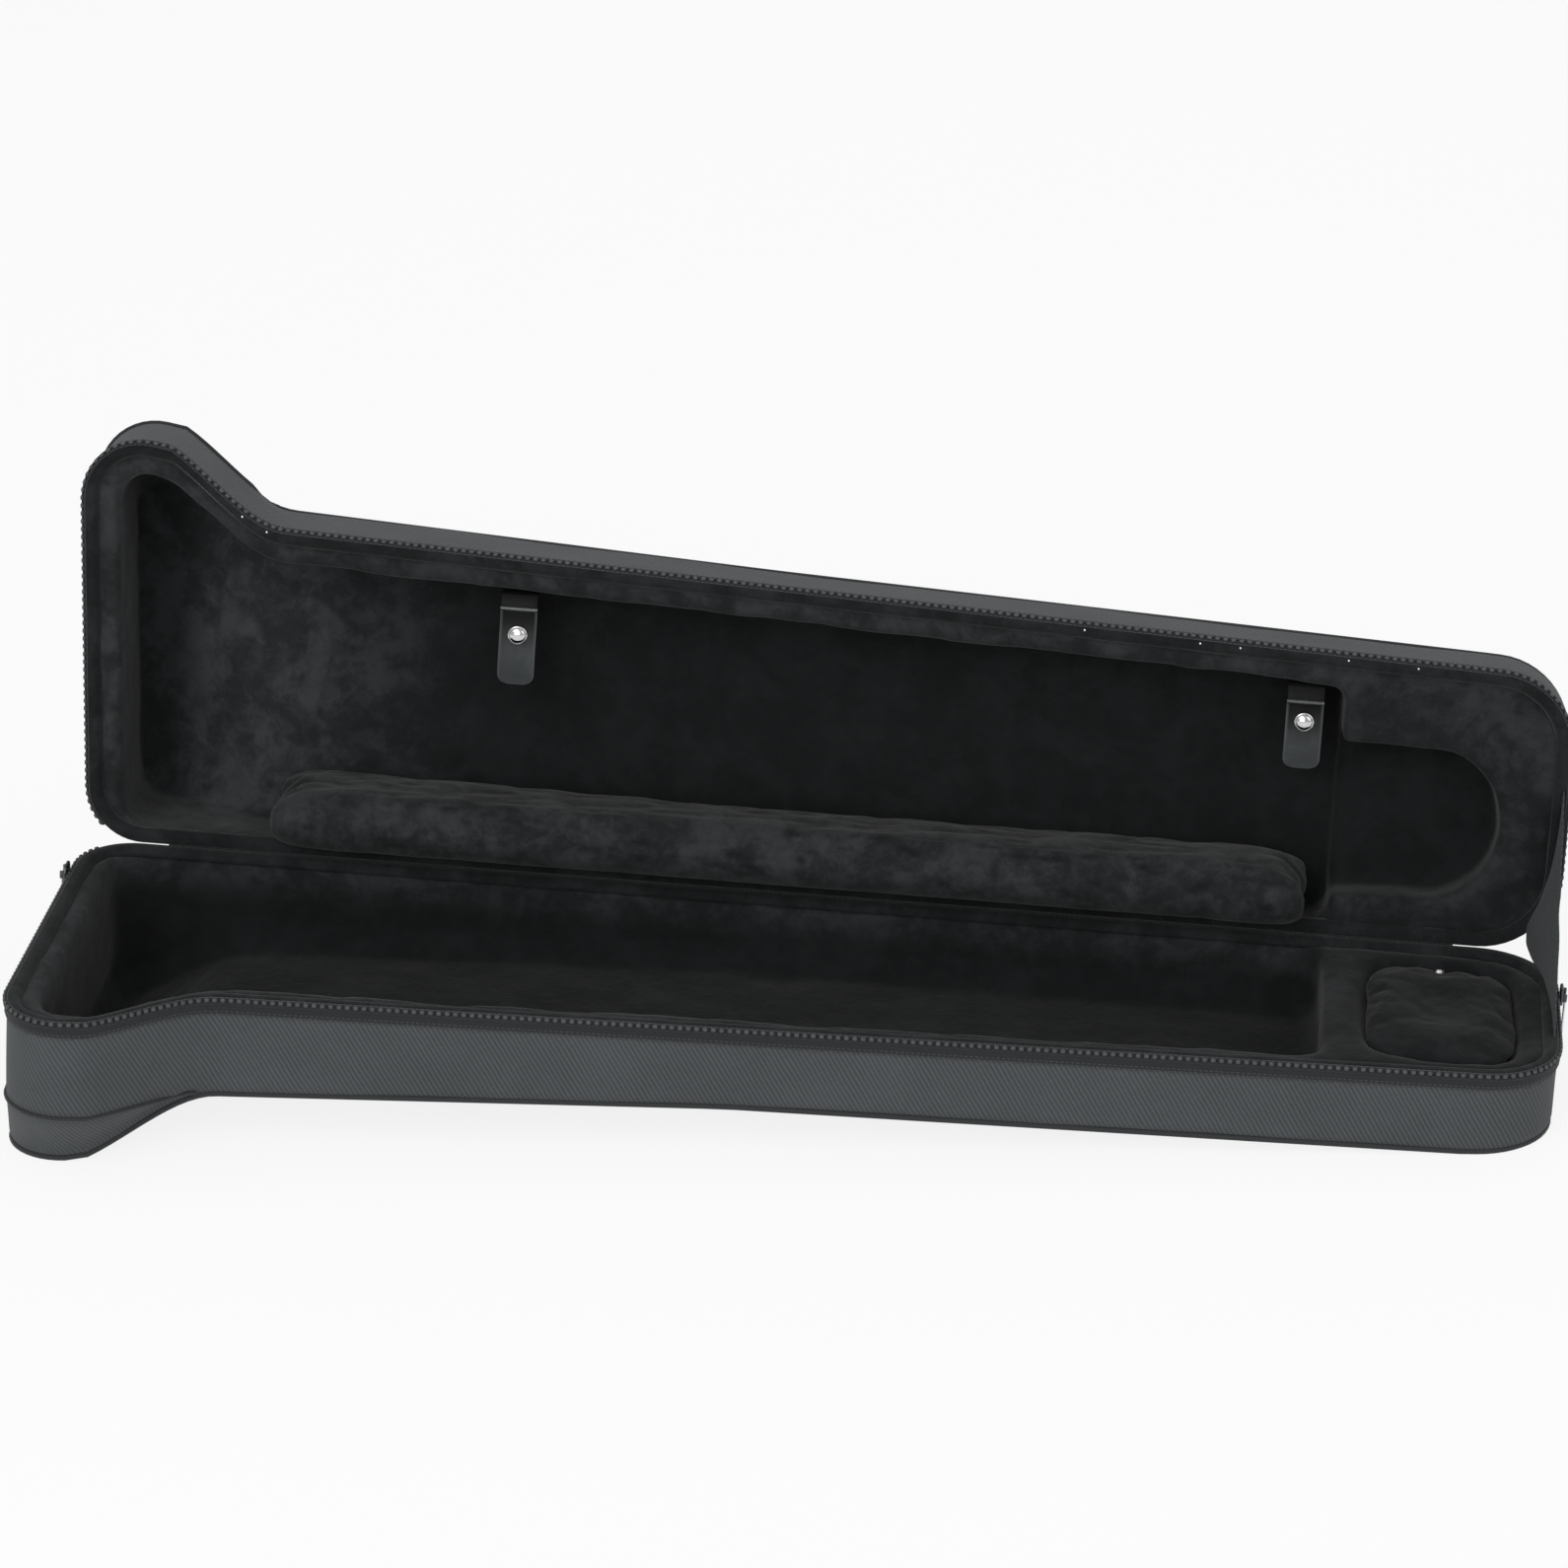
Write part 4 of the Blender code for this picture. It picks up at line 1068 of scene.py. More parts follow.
@dataclass
class Shop:
    """Keeps what every sub-assembly needs: the frame, the outline and the way a piece is finished."""

    frames: CaseFrame
    outline: CaseOutline
    nodes: dict[str, Piece]

    def add(self, name: str, bm: Form, finish: Finish, body: str | None,
            place: Matrix, replaces: Sequence[str] = (), crease: float = 0.9,
            nap: Callable[[Vector], float] | None = None) -> Piece:
        """Make a finished piece.

        Args:
            name: The piece's name.
            bm: Its mesh, which is freed.
            finish: Its finish.
            body: The CAD body that it rides on, or None where it bends between two.
            place: Matrix from the mesh's own frame to the row frame.
            replaces: CAD nodes that it stands for.
            crease: Angle in radians past which an edge stays sharp.
            nap: On plush, the painted light level at a point of the mesh's own frame, from 0 (full painted
                shade) over 1 (plain tone) to 2 (full painted light). On the flap leather, 1 at its cut edge,
                which takes a painted highlight, and 0 elsewhere.

        Returns:
            The object, at the origin with its place in its mesh.
        """
        # Keep the painted light level at each point; plush without one gets the plain level 1.
        if nap is not None or isinstance(finish, Plush):
            layer = bm.verts.layers.float.new("nap")
            for vert in bm.verts:
                vert[layer] = nap(vert.co) if nap else 1.0
        bmesh.ops.transform(bm, matrix=place, verts=bm.verts)
        bmesh.ops.remove_doubles(bm, verts=bm.verts, dist=MERGE)
        bmesh.ops.recalc_face_normals(bm, faces=bm.faces)
        for face in bm.faces:
            face.smooth = True
        for edge in bm.edges:
            edge.smooth = edge.calc_face_angle(0.0) < crease
        mesh = bpy.data.meshes.new(name)
        bm.to_mesh(mesh)
        bm.free()
        mesh.materials.append(finish.material())
        piece = bpy.data.objects.new(name, mesh)
        bpy.context.scene.collection.objects.link(piece)
        if body is not None:
            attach(piece, body)
        if replaces:
            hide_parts(*replaces)
        LOG.info("%s: %d faces, rides on %s, stands for %s", name, len(mesh.polygons), body or "two bodies",
                 ", ".join(replaces) or "nothing")
        return piece

    def node_copy(self, name: str, place: Matrix) -> Form:
        """Copy a CAD node's mesh, merged, into a frame given by its matrix.

        Args:
            name: The node.
            place: The matrix of the frame that the copy comes back in.

        Returns:
            The copy.
        """
        bm = bmesh.new()
        bm.from_mesh(self.nodes[name].data)
        bmesh.ops.remove_doubles(bm, verts=bm.verts, dist=MERGE)
        bmesh.ops.transform(bm, matrix=place.inverted(), verts=bm.verts)
        bmesh.ops.recalc_face_normals(bm, faces=bm.faces)
        return bm

    def remeshed(self, name: str, place: Matrix, voxel: float, rounds: int) -> Form:
        """Copy a CAD node as an even, rounded skin.

        Args:
            name: The node.
            place: The matrix of the frame that the copy comes back in.
            voxel: Size of one cell of the skin.
            rounds: How often the skin is smoothed.

        Returns:
            The skin.
        """
        source = self.node_copy(name, place)
        mesh = bpy.data.meshes.new("skin")
        source.to_mesh(mesh)
        source.free()
        holder = bpy.data.objects.new("skin", mesh)
        bpy.context.scene.collection.objects.link(holder)
        modifier = holder.modifiers.new("voxels", "REMESH")
        modifier.mode = "VOXEL"
        modifier.voxel_size = voxel
        applied(holder)
        bm = bmesh.new()
        bm.from_mesh(holder.data)
        bpy.data.objects.remove(holder)
        for _ in range(rounds):
            bmesh.ops.smooth_vert(bm, verts=bm.verts, factor=0.5, use_axis_x=True, use_axis_y=True,
                                  use_axis_z=True)
        return bm


@dataclass
class HalfPart:
    """Something that one half of the case carries."""

    shop: Shop
    half: Half

    def fit(self, label: str, bm: Form, finish: Finish, replaces: str | None = None,
            **more: object) -> Piece:
        """Add a piece that rides on the half.

        Args:
            label: What follows the half's name in the piece's name.
            bm: Its mesh in the half's own frame.
            finish: Its finish.
            replaces: What follows the half's name in the name of the CAD node that it stands for.
            more: What else the shop is told.

        Returns:
            The object.
        """
        name, place = self.half.value, self.shop.frames.of(self.half)
        nodes = [f"{name}_{replaces}"] if replaces else []
        return self.shop.add(f"{name}_{label}", bm, finish, name, place, nodes, **more)


@dataclass
class Cover(HalfPart):
    """The twill cover of one half, its edge piping and the stitching under the zip."""

    across_steps: int = 12
    wall_steps: int = 6
    draw_steps: int = 3
    arc_steps: int = 5
    cord_radius: float = 0.0020
    cord_gap: float = 0.0009
    cord_sides: int = 10
    swell: float = 0.0008
    swell_size: float = 0.085
    swell_seeds: Pair = (3.0, 8.0)
    quiet_band: Pair = (0.008, 0.032)
    stitch_size: Triple = (0.0015, 0.0005, 0.0005)
    stitch_lift: float = 0.0001
    stitch_drop: float = 0.0128
    stitch_pitch: float = 0.0042
    stitch_step: float = 0.01
    crease_end: float = 0.107
    crease_cord_share: float = 0.7
    crease_gap_share: float = 0.6

    def lifted(self, chains: Iterable[Ring], height: Callable[[float], float]) -> tuple[Ring, Ring]:
        """Raise a front and a back chain of plan points to a height that is given along x."""
        front, rear = ([Vector((p.x, p.y, height(p.x))) for p in chain] for chain in chains)
        return front, rear

    def levels(self) -> list[tuple[Ring, Ring]]:
        """Give the cover's form from the rim down.

        Returns:
            For each level a front and a back chain of points, both from the bell end to the tail.
        """
        shape = self.shop.outline
        edge = shape.edge_break
        upper = shape.chains(0.0)
        found = []
        for step in range(self.wall_steps + 1):
            share = step / self.wall_steps
            found.append(self.lifted(
                upper, lambda x, s=share: -shape.rim_gap * (1 - s) + shape.crease_height(x) * s))
        lower = self.lifted(shape.drawn_in(0.0), lambda x: shape.floor_height(x) + edge)
        for step in range(1, self.draw_steps + 1):
            share = step / self.draw_steps
            found.append(tuple([high.lerp(low, share) for high, low in zip(*pair)]
                               for pair in zip(found[self.wall_steps], lower)))
        for step in range(1, self.arc_steps + 1):
            angle = math.pi / 2 * step / self.arc_steps
            found.append(self.lifted(
                shape.drawn_in(edge * (1 - math.cos(angle))),
                lambda x, a=angle: shape.floor_height(x) + edge * (1 - math.sin(a))))
        return found

    def closed_ring(self, front: Ring, rear: Ring) -> Ring:
        """Join two chains into one ring whose ends have the points of the bottom's grid.

        Args:
            front: The front chain.
            rear: The back chain.

        Returns:
            The ring, its first point repeated at the end.
        """
        steps = self.across_steps
        tail = [front[-1].lerp(rear[-1], n / steps) for n in range(1, steps)]
        bell = [rear[0].lerp(front[0], n / steps) for n in range(1, steps)]
        return front + tail + rear[::-1] + bell + [front[0]]

    def cord_path(self, levels: list[tuple[Ring, Ring]]) -> Ring:
        """Give the way of the piping cord along the lower edge.

        Args:
            levels: The cover's form.

        Returns:
            The closed way of the cord's middle.
        """
        high = self.closed_ring(*levels[self.wall_steps + self.draw_steps])
        low = self.closed_ring(*levels[-1])
        path = []
        for top, bottom in zip(high, low):
            away = top - bottom
            away.z = 0.0
            way = (away.normalized() - Vector((0, 0, 1))).normalized()
            path.append((top + bottom) / 2 + way * (self.cord_radius + self.cord_gap))
        return path

    def build(self) -> None:
        """Make the cover, the piping and the line of stitches."""
        levels = self.levels()
        rings = [self.closed_ring(front, rear) for front, rear in levels]
        walls = grid_surface(len(rings[0]) - 1, len(rings) - 1, lambda i, j: rings[j][i])
        front, rear = levels[-1]
        bottom = grid_surface(len(front) - 1, self.across_steps,
                              lambda i, j: front[i].lerp(rear[i], j / self.across_steps))
        skin = joined(walls, bottom)
        waver(skin, self.swell, self.swell_size, self.half.pick(self.swell_seeds),
              lambda p: 1.0 - smooth_fade(-p.z, *self.quiet_band))
        cover = self.fit("cover", skin, COVER, "shell")
        thicken(cover, self.shop.outline.wall)
        cord = tube(self.cord_path(levels), self.cord_radius, self.cord_sides, closed=True)
        self.fit("edge_cord", cord, EDGE_CORD, "piping")
        self.crease_cord(levels)
        self.stitches()

    def crease_cord(self, levels: list[tuple[Ring, Ring]]) -> None:
        """Sew a second cord where the wall meets the pouch, round the bell end.

        Args:
            levels: The cover's form.
        """
        shape = self.shop.outline
        low = -shape.half_depth * shape.crease_share
        middle = Vector((0.5, -0.5, 0.0)) * shape.bell_width
        sides = []
        for chains in zip(*levels):
            side = []
            for column in zip(*chains):
                for above, below in zip(column, column[1:]):
                    if above.z >= low > below.z and above.x < self.crease_end:
                        point = above.lerp(below, (above.z - low) / (above.z - below.z))
                        away = Vector((point.x - middle.x, point.y - middle.y, 0.0)).normalized()
                        side.append(point + away * self.cord_gap * self.crease_gap_share)
            sides.append(side)
        front, rear = sides
        cord = tube(rear[::-1] + front, self.cord_radius * self.crease_cord_share, self.cord_sides)
        self.fit("crease_cord", cord, EDGE_CORD)

    def stitches(self) -> None:
        """Sew a line of stitches into the wall below the zip tape."""
        path = resampled(self.shop.outline.rim_path(self.stitch_lift), self.stitch_step)
        turns = level_turns(path, self.stitch_pitch, -self.stitch_drop)
        self.fit("stitching", repeated(stitch(self.stitch_size), turns), SEWING)


@dataclass
class Zip(HalfPart):
    """One side of the zip: the woven tape on the wall and the row of separate teeth on its edge."""

    gap: float = 0.0003
    tape_thickness: float = 0.0005
    tape_height: float = 0.0074
    tape_outsets: tuple[float, ...] = (0.0002, 0.0004, 0.0006, 0.0011, 0.0010, 0.0011, 0.0009, 0.0003)
    tape_down_shares: tuple[float, ...] = (0.0, 0.08, 0.2, 0.3, 0.6, 0.9, 0.97, 1.0)
    tape_step: float = 0.006
    bead_radius: float = 0.00105
    bead_lift_share: float = 0.6
    bead_sides: int = 6
    tooth_size: Triple = (0.0031, 0.0020, 0.0026)
    tooth_round: float = 0.0008
    tooth_pitch: float = 0.0050
    tooth_step: float = 0.004
    seam_size: Triple = (0.0012, 0.0004, 0.00035)
    seam_outset: float = 0.0011
    seam_drop: float = 0.0092
    seam_pitch: float = 0.0032
    seam_step: float = 0.008

    def build(self) -> None:
        """Make the tape, its bead and seam, and the teeth."""
        shape = self.shop.outline
        top = -shape.rim_gap - self.gap
        tall = self.tooth_size[2] + self.gap + self.tape_height
        rims = [shape.rim_path(self.gap + out) for out in self.tape_outsets]
        count = min(len(resampled(rim, self.tape_step)) for rim in rims)
        paths = [resampled(rim, path_length(rim) / (count - 1)) for rim in rims]
        heights = [top - tall * down for down in self.tape_down_shares]
        band = grid_surface(count - 1, len(rims) - 1,
                            lambda i, j: Vector((paths[j][i].x, paths[j][i].y, heights[j])))
        tape = self.fit("tape", band, TAPE, "zip_tape")
        thicken(tape, self.tape_thickness)
        low = top - self.tooth_size[2] - self.bead_radius * self.bead_lift_share
        rim = resampled(shape.rim_path(self.gap + self.bead_radius), self.tape_step)
        bead = tube([Vector((p.x, p.y, low)) for p in rim], self.bead_radius, self.bead_sides)
        self.fit("tape_bead", bead, TAPE)
        self.teeth()
        self.seam()
        LOG.info("%s zip is %.3f m long", self.half.value, path_length(rims[0]))

    def teeth(self) -> None:
        """Set the teeth, each a small rounded block on the tape's edge."""
        reach, height = self.tooth_size[1:]
        tooth = block(self.tooth_size, self.tooth_round, (0.0, -reach / 2 - self.gap, 0.0))
        path = resampled(self.shop.outline.rim_path(self.gap), self.tooth_step)
        turns = level_turns(path, self.tooth_pitch, -self.shop.outline.rim_gap - height / 2)
        self.fit("teeth", repeated(tooth, turns), TEETH, "zip_teeth")

    def seam(self) -> None:
        """Sew the tape's lower edge to the cover."""
        path = resampled(self.shop.outline.rim_path(self.gap + self.seam_outset), self.seam_step)
        turns = level_turns(path, self.seam_pitch, -self.seam_drop)
        self.fit("tape_seam", repeated(stitch(self.seam_size), turns), SEWING)


@dataclass
class Lining(HalfPart):
    """The plush-covered insert of one half and the plush binding rolled over the wall's rim."""

    voxel: float = 0.0030
    rounds: int = 7
    swell: float = 0.0011
    swell_size: float = 0.045
    swell_seeds: Pair = (21.0, 34.0)
    flat_floor_share: float = 0.8
    # Painted light and shade of the plush: painted shade below these depths, along the lid's middle, on the
    # bell end's wall and towards the tail; painted light in the lid's bell pocket and on its rim there.
    lit_depth: float = 0.008
    full_shade_depth: float = 0.034
    dark_start: float = 0.20
    dark_end: float = 0.93
    dark_fade: float = 0.05
    bell_lit: float = 0.13
    shaded_end: Pair = (0.034, 0.062)
    shaded_end_share: float = 0.70
    lit_rim: Pair = (0.030, 0.060)
    lit_rim_share: float = 0.30
    # Painted shade towards the tail end, in the base and on the lid's rim.
    shaded_tail: Pair = (0.750, 0.800)
    shaded_tail_share: float = 0.70
    shaded_ledge_share: float = 0.2
    binding_thickness: float = 0.0002
    # Light level of the binding: an even painted shade.
    binding_light_level: float = 0.45
    binding_inside: tuple[Pair, ...] = (
        (0.0042, -0.0052), (0.0030, -0.0030), (0.0016, -0.0012), (0.0006, -0.0003))
    binding_top_shares: Pair = (0.8, 0.35)
    binding_top: float = -0.0001
    binding_outside: tuple[Pair, ...] = ((0.0007, -0.0002), (0.0002, -0.0006))
    mound: Triple = (0.742, -0.128, 0.004)
    mound_reach: float = 0.034
    mound_floor_share: float = 0.9

    def faded(self, x: float, middle: float) -> float:
        """Fall from 1 to 0 along the case round a middle."""
        return smooth_fade(x, middle - self.dark_fade, middle + self.dark_fade)

    def nap(self, point: Vector) -> float:
        """Give the plush's painted light level at a point: painted shade in the deep middle of the tray.

        Args:
            point: The point in the frame of the half.

        Returns:
            0 for full painted shade where it is deep, 1 for the plain tone and more for painted light.
        """
        # Share of the painted shade by depth below the rim.
        depth = 1.0 - smooth_fade(-point.z, self.lit_depth, self.full_shade_depth)
        # Painted shade towards the tail end.
        tail_shade = self.shaded_tail_share * (1.0 - smooth_fade(point.x, *self.shaded_tail))
        # The base: painted shade with depth and towards the tail.
        if self.half is Half.BASE:
            return (1.0 - depth) * (1.0 - tail_shade)
        # Painted shade in the deep middle of the lid, between the bell pocket and the tail.
        painted_shade = depth * (1.0 - self.faded(point.x, self.dark_start)) * self.faded(point.x, self.dark_end)
        # Painted light in the lid's deep bell pocket.
        level = 1.0 - painted_shade + depth * self.faded(point.x, self.bell_lit)
        # Painted shade on the bell end's wall.
        level *= 1.0 - self.shaded_end_share * depth * smooth_fade(point.x, *self.shaded_end)
        # Painted light on the rim at the bell end.
        level += self.lit_rim_share * (1.0 - depth) * smooth_fade(point.x, *self.lit_rim)
        # Painted shade on the rim towards the tail.
        return level * (1.0 - self.shaded_ledge_share * tail_shade * (1.0 - depth))

    def swollen(self, point: Vector) -> float:
        """Say how much of the swell a point takes: all of it, but less near the floor of the lid."""
        floor = -self.shop.outline.floor_height(point.x)
        return smooth_fade(-point.z, floor * self.flat_floor_share, floor) if self.half is Half.LID else 1.0

    def build(self) -> None:
        """Make the insert's soft skin and the binding."""
        skin = self.shop.remeshed(self.half.value + "_insert", self.shop.frames.of(self.half), self.voxel,
                                  self.rounds)
        waver(skin, self.swell, self.swell_size, self.half.pick(self.swell_seeds), self.swollen)
        if self.half is Half.BASE:
            x, y, rise = self.mound
            floor = -self.shop.outline.half_depth * self.mound_floor_share
            for vert in skin.verts:
                if vert.co.z > floor:
                    away = math.hypot(vert.co.x - x, vert.co.y - y)
                    vert.co.z += rise * smooth_fade(away, 0.0, self.mound_reach)
        # The lining takes painted shade and painted light from its nap values.
        lining = self.fit("lining", skin, LINING, "insert", crease=ALL_SMOOTH, nap=self.nap)
        self.binding()

    def binding(self) -> None:
        """Roll a strip of plush from the insert over the rim of the wall."""
        shape = self.shop.outline
        profile = [(shape.wall + side, height) for side, height in self.binding_inside]
        profile += [(shape.wall * share, self.binding_top) for share in self.binding_top_shares]
        profile += self.binding_outside
        rings = [shape.ring(side) for side, _ in profile]
        strip = grid_surface(len(rings[0]) - 1, len(profile) - 1,
                             lambda i, j: rings[j][i].to_3d() + Vector((0.0, 0.0, profile[j][1])))
        # The binding takes one even painted shade.
        binding = self.fit("rim_binding", strip, LINING, crease=ALL_SMOOTH, nap=lambda p: self.binding_light_level)
        thicken(binding, self.binding_thickness)


@dataclass
class Pad:
    """A stuffed plush pad made from its CAD solid by a short pressure simulation."""

    shop: Shop
    name: str
    node: str
    half: Half
    body: str
    voxel: float
    pressure: float
    cap: float
    wrinkle: float
    wrinkle_size: Vector
    seed: float
    fill: float
    tuft: Vector | None = None
    tuft_depth: float = 0.0022
    tuft_reach: float = 0.016
    tuft_ragged_share: float = 0.25
    tuft_grain: float = 120.0
    tuft_facing: float = 0.3
    # lit scales the pad's painted light level; creases within the crease band take painted shade.
    lit: float = 1.0
    back_limit: float = 0.0
    shaded_crease_band: Pair = (0.02, 0.20)
    fold_crest: float = 0.45
    finer_share: float = 2.1
    frames: int = 20

    def inflate(self, piece: Piece) -> None:
        """Swell the pad as cloth round a filling, but not past the cap or the limit at the hinge.

        Args:
            piece: The pad, which is changed.
        """
        rest = [v.co.copy() for v in piece.data.vertices]
        cloth = piece.modifiers.new("stuffing", "CLOTH")
        cloth.settings.use_pressure = True
        cloth.settings.uniform_pressure_force = self.pressure
        cloth.settings.effector_weights.gravity = 0.0
        scene = bpy.context.scene
        for frame in range(1, self.frames + 1):
            scene.frame_set(frame)
        applied(piece)
        place = self.shop.frames.of(self.half)
        back = place.inverted()
        for vert, start in zip(piece.data.vertices, rest):
            move = vert.co - start
            if move.length > self.cap:
                vert.co = start + move.normalized() * self.cap
            spot = back @ vert.co
            if spot.y > self.back_limit:
                spot.y = self.back_limit
                vert.co = place @ spot
        scene.frame_set(1)

    def drawn(self, vert: bmesh.types.BMVert) -> float:
        """Say how far a point of the pad's top is drawn in by its tuft.

        Args:
            vert: The point, with its normal.

        Returns:
            1 in the middle of the tuft, 0 away from it.
        """
        if self.tuft is None or vert.normal.z <= self.tuft_facing:
            return 0.0
        away = math.hypot(vert.co.x - self.tuft.x, vert.co.y - self.tuft.y)
        ragged = self.tuft_ragged_share * self.tuft_reach * noise.noise(vert.co * self.tuft_grain)
        return smooth_fade(away + ragged, 0.0, self.tuft_reach)

    def build(self) -> Piece:
        """Make the pad.

        Returns:
            The pad's object.
        """
        place = self.shop.frames.of(self.half)
        skin = self.shop.remeshed(self.node, place, self.voxel, 1)
        size = self.wrinkle_size
        shift = Vector((self.seed, 0.0, 0.0))
        skin.normal_update()
        lit = []
        for vert in skin.verts:
            at = Vector((vert.co.x / size.x, vert.co.y / size.y, vert.co.z / size.z)) + shift
            fold = abs(noise.noise(at)) + 0.5 * abs(noise.noise(at * self.finer_share))
            drawn = self.drawn(vert)
            # Light level at each point: painted shade in the creases and in the tuft's dimple, scaled by the
            # pad's painted light level.
            lit.append((1.0 - smooth_fade(fold, *self.shaded_crease_band)) * (1.0 - drawn) * self.lit)
            rise = (min(fold, self.fold_crest) - self.shaded_crease_band[1]) * self.wrinkle
            vert.co += vert.normal * (rise - self.tuft_depth * drawn)
        values = iter(lit)
        pad = self.shop.add(self.name, skin, PAD_PLUSH, None, place, [self.node], ALL_SMOOTH,
                            lambda p: next(values))
        self.inflate(pad)
        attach(pad, self.body)
        soften(pad)
        return pad


@dataclass
class PadStud:
    """The chrome stud that draws a tuft into the accessory pad, on a short post."""

    shop: Shop
    node: str = "accessory_lid_stud"
    radius: float = 0.0035
    height: float = 0.0022
    lip: float = 0.0007
    post_radius: float = 0.0014
    post_depth: float = 0.0035

    def build(self) -> Vector:
        """Set the stud where its CAD node is.

        Returns:
            Its place in the base's frame.
        """
        place = self.shop.frames.base
        copy = self.shop.node_copy(self.node, place)
        low, high = (Vector([pick(v.co[axis] for v in copy.verts) for axis in range(3)])
                     for pick in (min, max))
        copy.free()
        spot = Vector(((low.x + high.x) / 2, (low.y + high.y) / 2, low.z))
        profile = dome(self.radius, self.height, self.lip)[:-1]
        profile += [(self.post_radius, 0.0), (self.post_radius, -self.post_depth), (0.0, -self.post_depth)]
        self.shop.add("pocket_pad_stud", turned(profile, SMALL_TURN), CHROME, "accessory_lid",
                      place @ Matrix.Translation(spot), [self.node])
        return spot


@dataclass
class Tacks:
    """Small domed tacks that pin the lining along the lid's front rim."""

    shop: Shop
    shares: tuple[float, ...] = (0.096, 0.113, 0.668, 0.746, 0.773, 0.846, 0.893)
    inset: float = 0.0024
    radius: float = 0.0012
    height: float = 0.0005
    lip: float = 0.0002
    steps: int = 10
    sink: float = 0.00052

    def build(self) -> None:
        """Set the tacks."""
        shape = self.shop.outline
        head = turned(dome(self.radius, self.height, self.lip), self.steps)
        places = [Matrix.Translation((x, shape.front_edge(x, self.inset), -self.sink))
                  for x in (share * shape.length for share in self.shares)]
        self.shop.add("lid_tacks", repeated(head, places), CHROME, "lid", self.shop.frames.lid)


@dataclass
class Strap:
    """A leather strap in the lid: root, flap with its domed snap, and the loop behind it."""

    shop: Shop
    side: str
    x: float
    fold_inset: float
    flap_length: float
    snap_drop: float
    tube_drop: float
    width: float = 0.023
    thickness: float = 0.0018
    recess_band: float = 0.021
    step: float = 0.0022
    across_steps: int = 6
    edge_round_share: float = 0.28
    roll_share: float = 0.85
    roll_sides: int = 14
    flap_thickness_share: float = 0.9
    flap_corner: float = 0.0065
    flap_steps: tuple[int, int] = (30, 12)
    dip: float = 0.0011
    bow: float = 0.0016
    border: float = 0.00022
    border_end: float = 0.0025
    border_side_share: float = 0.8
    edge_reach: float = 0.0008
    root_depth: float = 0.012
    loop_steps: int = 12
    tube_radius: float = 0.0085
    tube_height: float = 0.0160
    snap_radius: float = 0.0062
    snap_height: float = 0.0026
    snap_lip: float = 0.0011
    stud_size: Triple = (0.0040, 0.0013, 0.0009)
    gap: float = 0.0003

    def ribbon(self, path: Sequence[Pair], width: float) -> Form:
        """Lay a strip along a path of y and z.

        Args:
            path: The strip's way.
            width: Its width.

        Returns:
            The strip, without thickness.
        """
        points = resampled([Vector((0.0, y, z)) for y, z in path], self.step)
        steps = self.across_steps
        return grid_surface(len(points) - 1, steps,
                            lambda i, j: points[i] + Vector((self.x + width * (j / steps - 0.5), 0.0, 0.0)))

    def build(self) -> None:
        """Make the strap's pieces."""
        shape = self.shop.outline
        place = self.shop.frames.lid
        name = "strap_" + self.side
        wall_y = shape.front_edge(self.x + self.width / 2, self.recess_band)
        fold_y = shape.front_edge(self.x, self.fold_inset)
        middle = self.gap + self.thickness / 2
        foot_y = wall_y + middle
        root = [(foot_y, -shape.liner_drop - self.root_depth), (foot_y, -shape.liner_drop - self.thickness),
                ((wall_y + fold_y) / 2, -middle - self.thickness / 2), (fold_y - self.gap, -middle)]
        loop = self.loop(wall_y, fold_y, middle)
        narrow = self.width - 2 * self.thickness
        # The root and the loop take the darker leather, a painted shade.
        for label, path, width in (("root", root, self.width), ("loop", loop, narrow)):
            strip = self.shop.add(f"{name}_{label}_leather", self.ribbon(path, width), SHADED_LEATHER, "lid",
                                  place, [f"{name}_{label}"])
            thicken(strip, self.thickness, 0.0)
            self.break_edges(strip)
        # The fold roll takes lighter, glossier leather: real gloss with a painted highlight in its colour.
        fold = [Vector((self.x + self.width * (n / 4 - 0.5), fold_y, -middle)) for n in range(5)]
        roll = tube(fold, self.thickness * self.roll_share, self.roll_sides)
        self.shop.add(name + "_fold_roll", roll, FOLD_HIGHLIGHT_LEATHER, name, place)
        self.flap(name, place, fold_y)
        snap_y = fold_y + self.snap_drop
        cap = turned(dome(self.snap_radius, self.snap_height, self.snap_lip))
        self.shop.add(name + "_cap", cap, CHROME, name, place @ Matrix.Translation((self.x, snap_y, 0)),
                      [name + "_snap_cap"])
        stud = turned(dome(*self.stud_size), SMALL_TURN)
        under = Matrix.Translation((self.x, snap_y, -3 * middle - 3 * self.gap)) @ UPSIDE_DOWN
        self.shop.add(name + "_stud", stud, CHROME, "lid", place @ under, [name + "_snap_stud"])

    def break_edges(self, piece: Piece) -> None:
        """Round the cut edges of a strip.

        Args:
            piece: The strip, which is changed.
        """
        modifier = piece.modifiers.new("edges", "BEVEL")
        modifier.width = self.thickness * self.edge_round_share
        modifier.segments = 2

    def loop(self, wall_y: float, fold_y: float, middle: float) -> list[Pair]:
        """Give the loop's way from the wall round its hollow and up behind the flap.

        Args:
            wall_y: Place of the recess wall.
            fold_y: Place of the flap's fold.
            middle: Depth of the flap's middle below the rim.

        Returns:
            The way as pairs of y and z.
        """
        tube_y = fold_y + self.tube_drop
        radius = self.tube_radius + self.thickness / 2
        path = [(wall_y + self.gap, -self.tube_height - radius)]
        for step in range(self.loop_steps + 1):
            angle = math.pi * (0.5 - step / self.loop_steps)
            path.append((tube_y + radius * math.cos(angle), -self.tube_height - radius * math.sin(angle)))
        front_z = -(middle + self.thickness + self.gap)
        stud_y = fold_y + self.snap_drop
        return path + [(stud_y + self.snap_radius, front_z), (stud_y - self.snap_radius, front_z)]

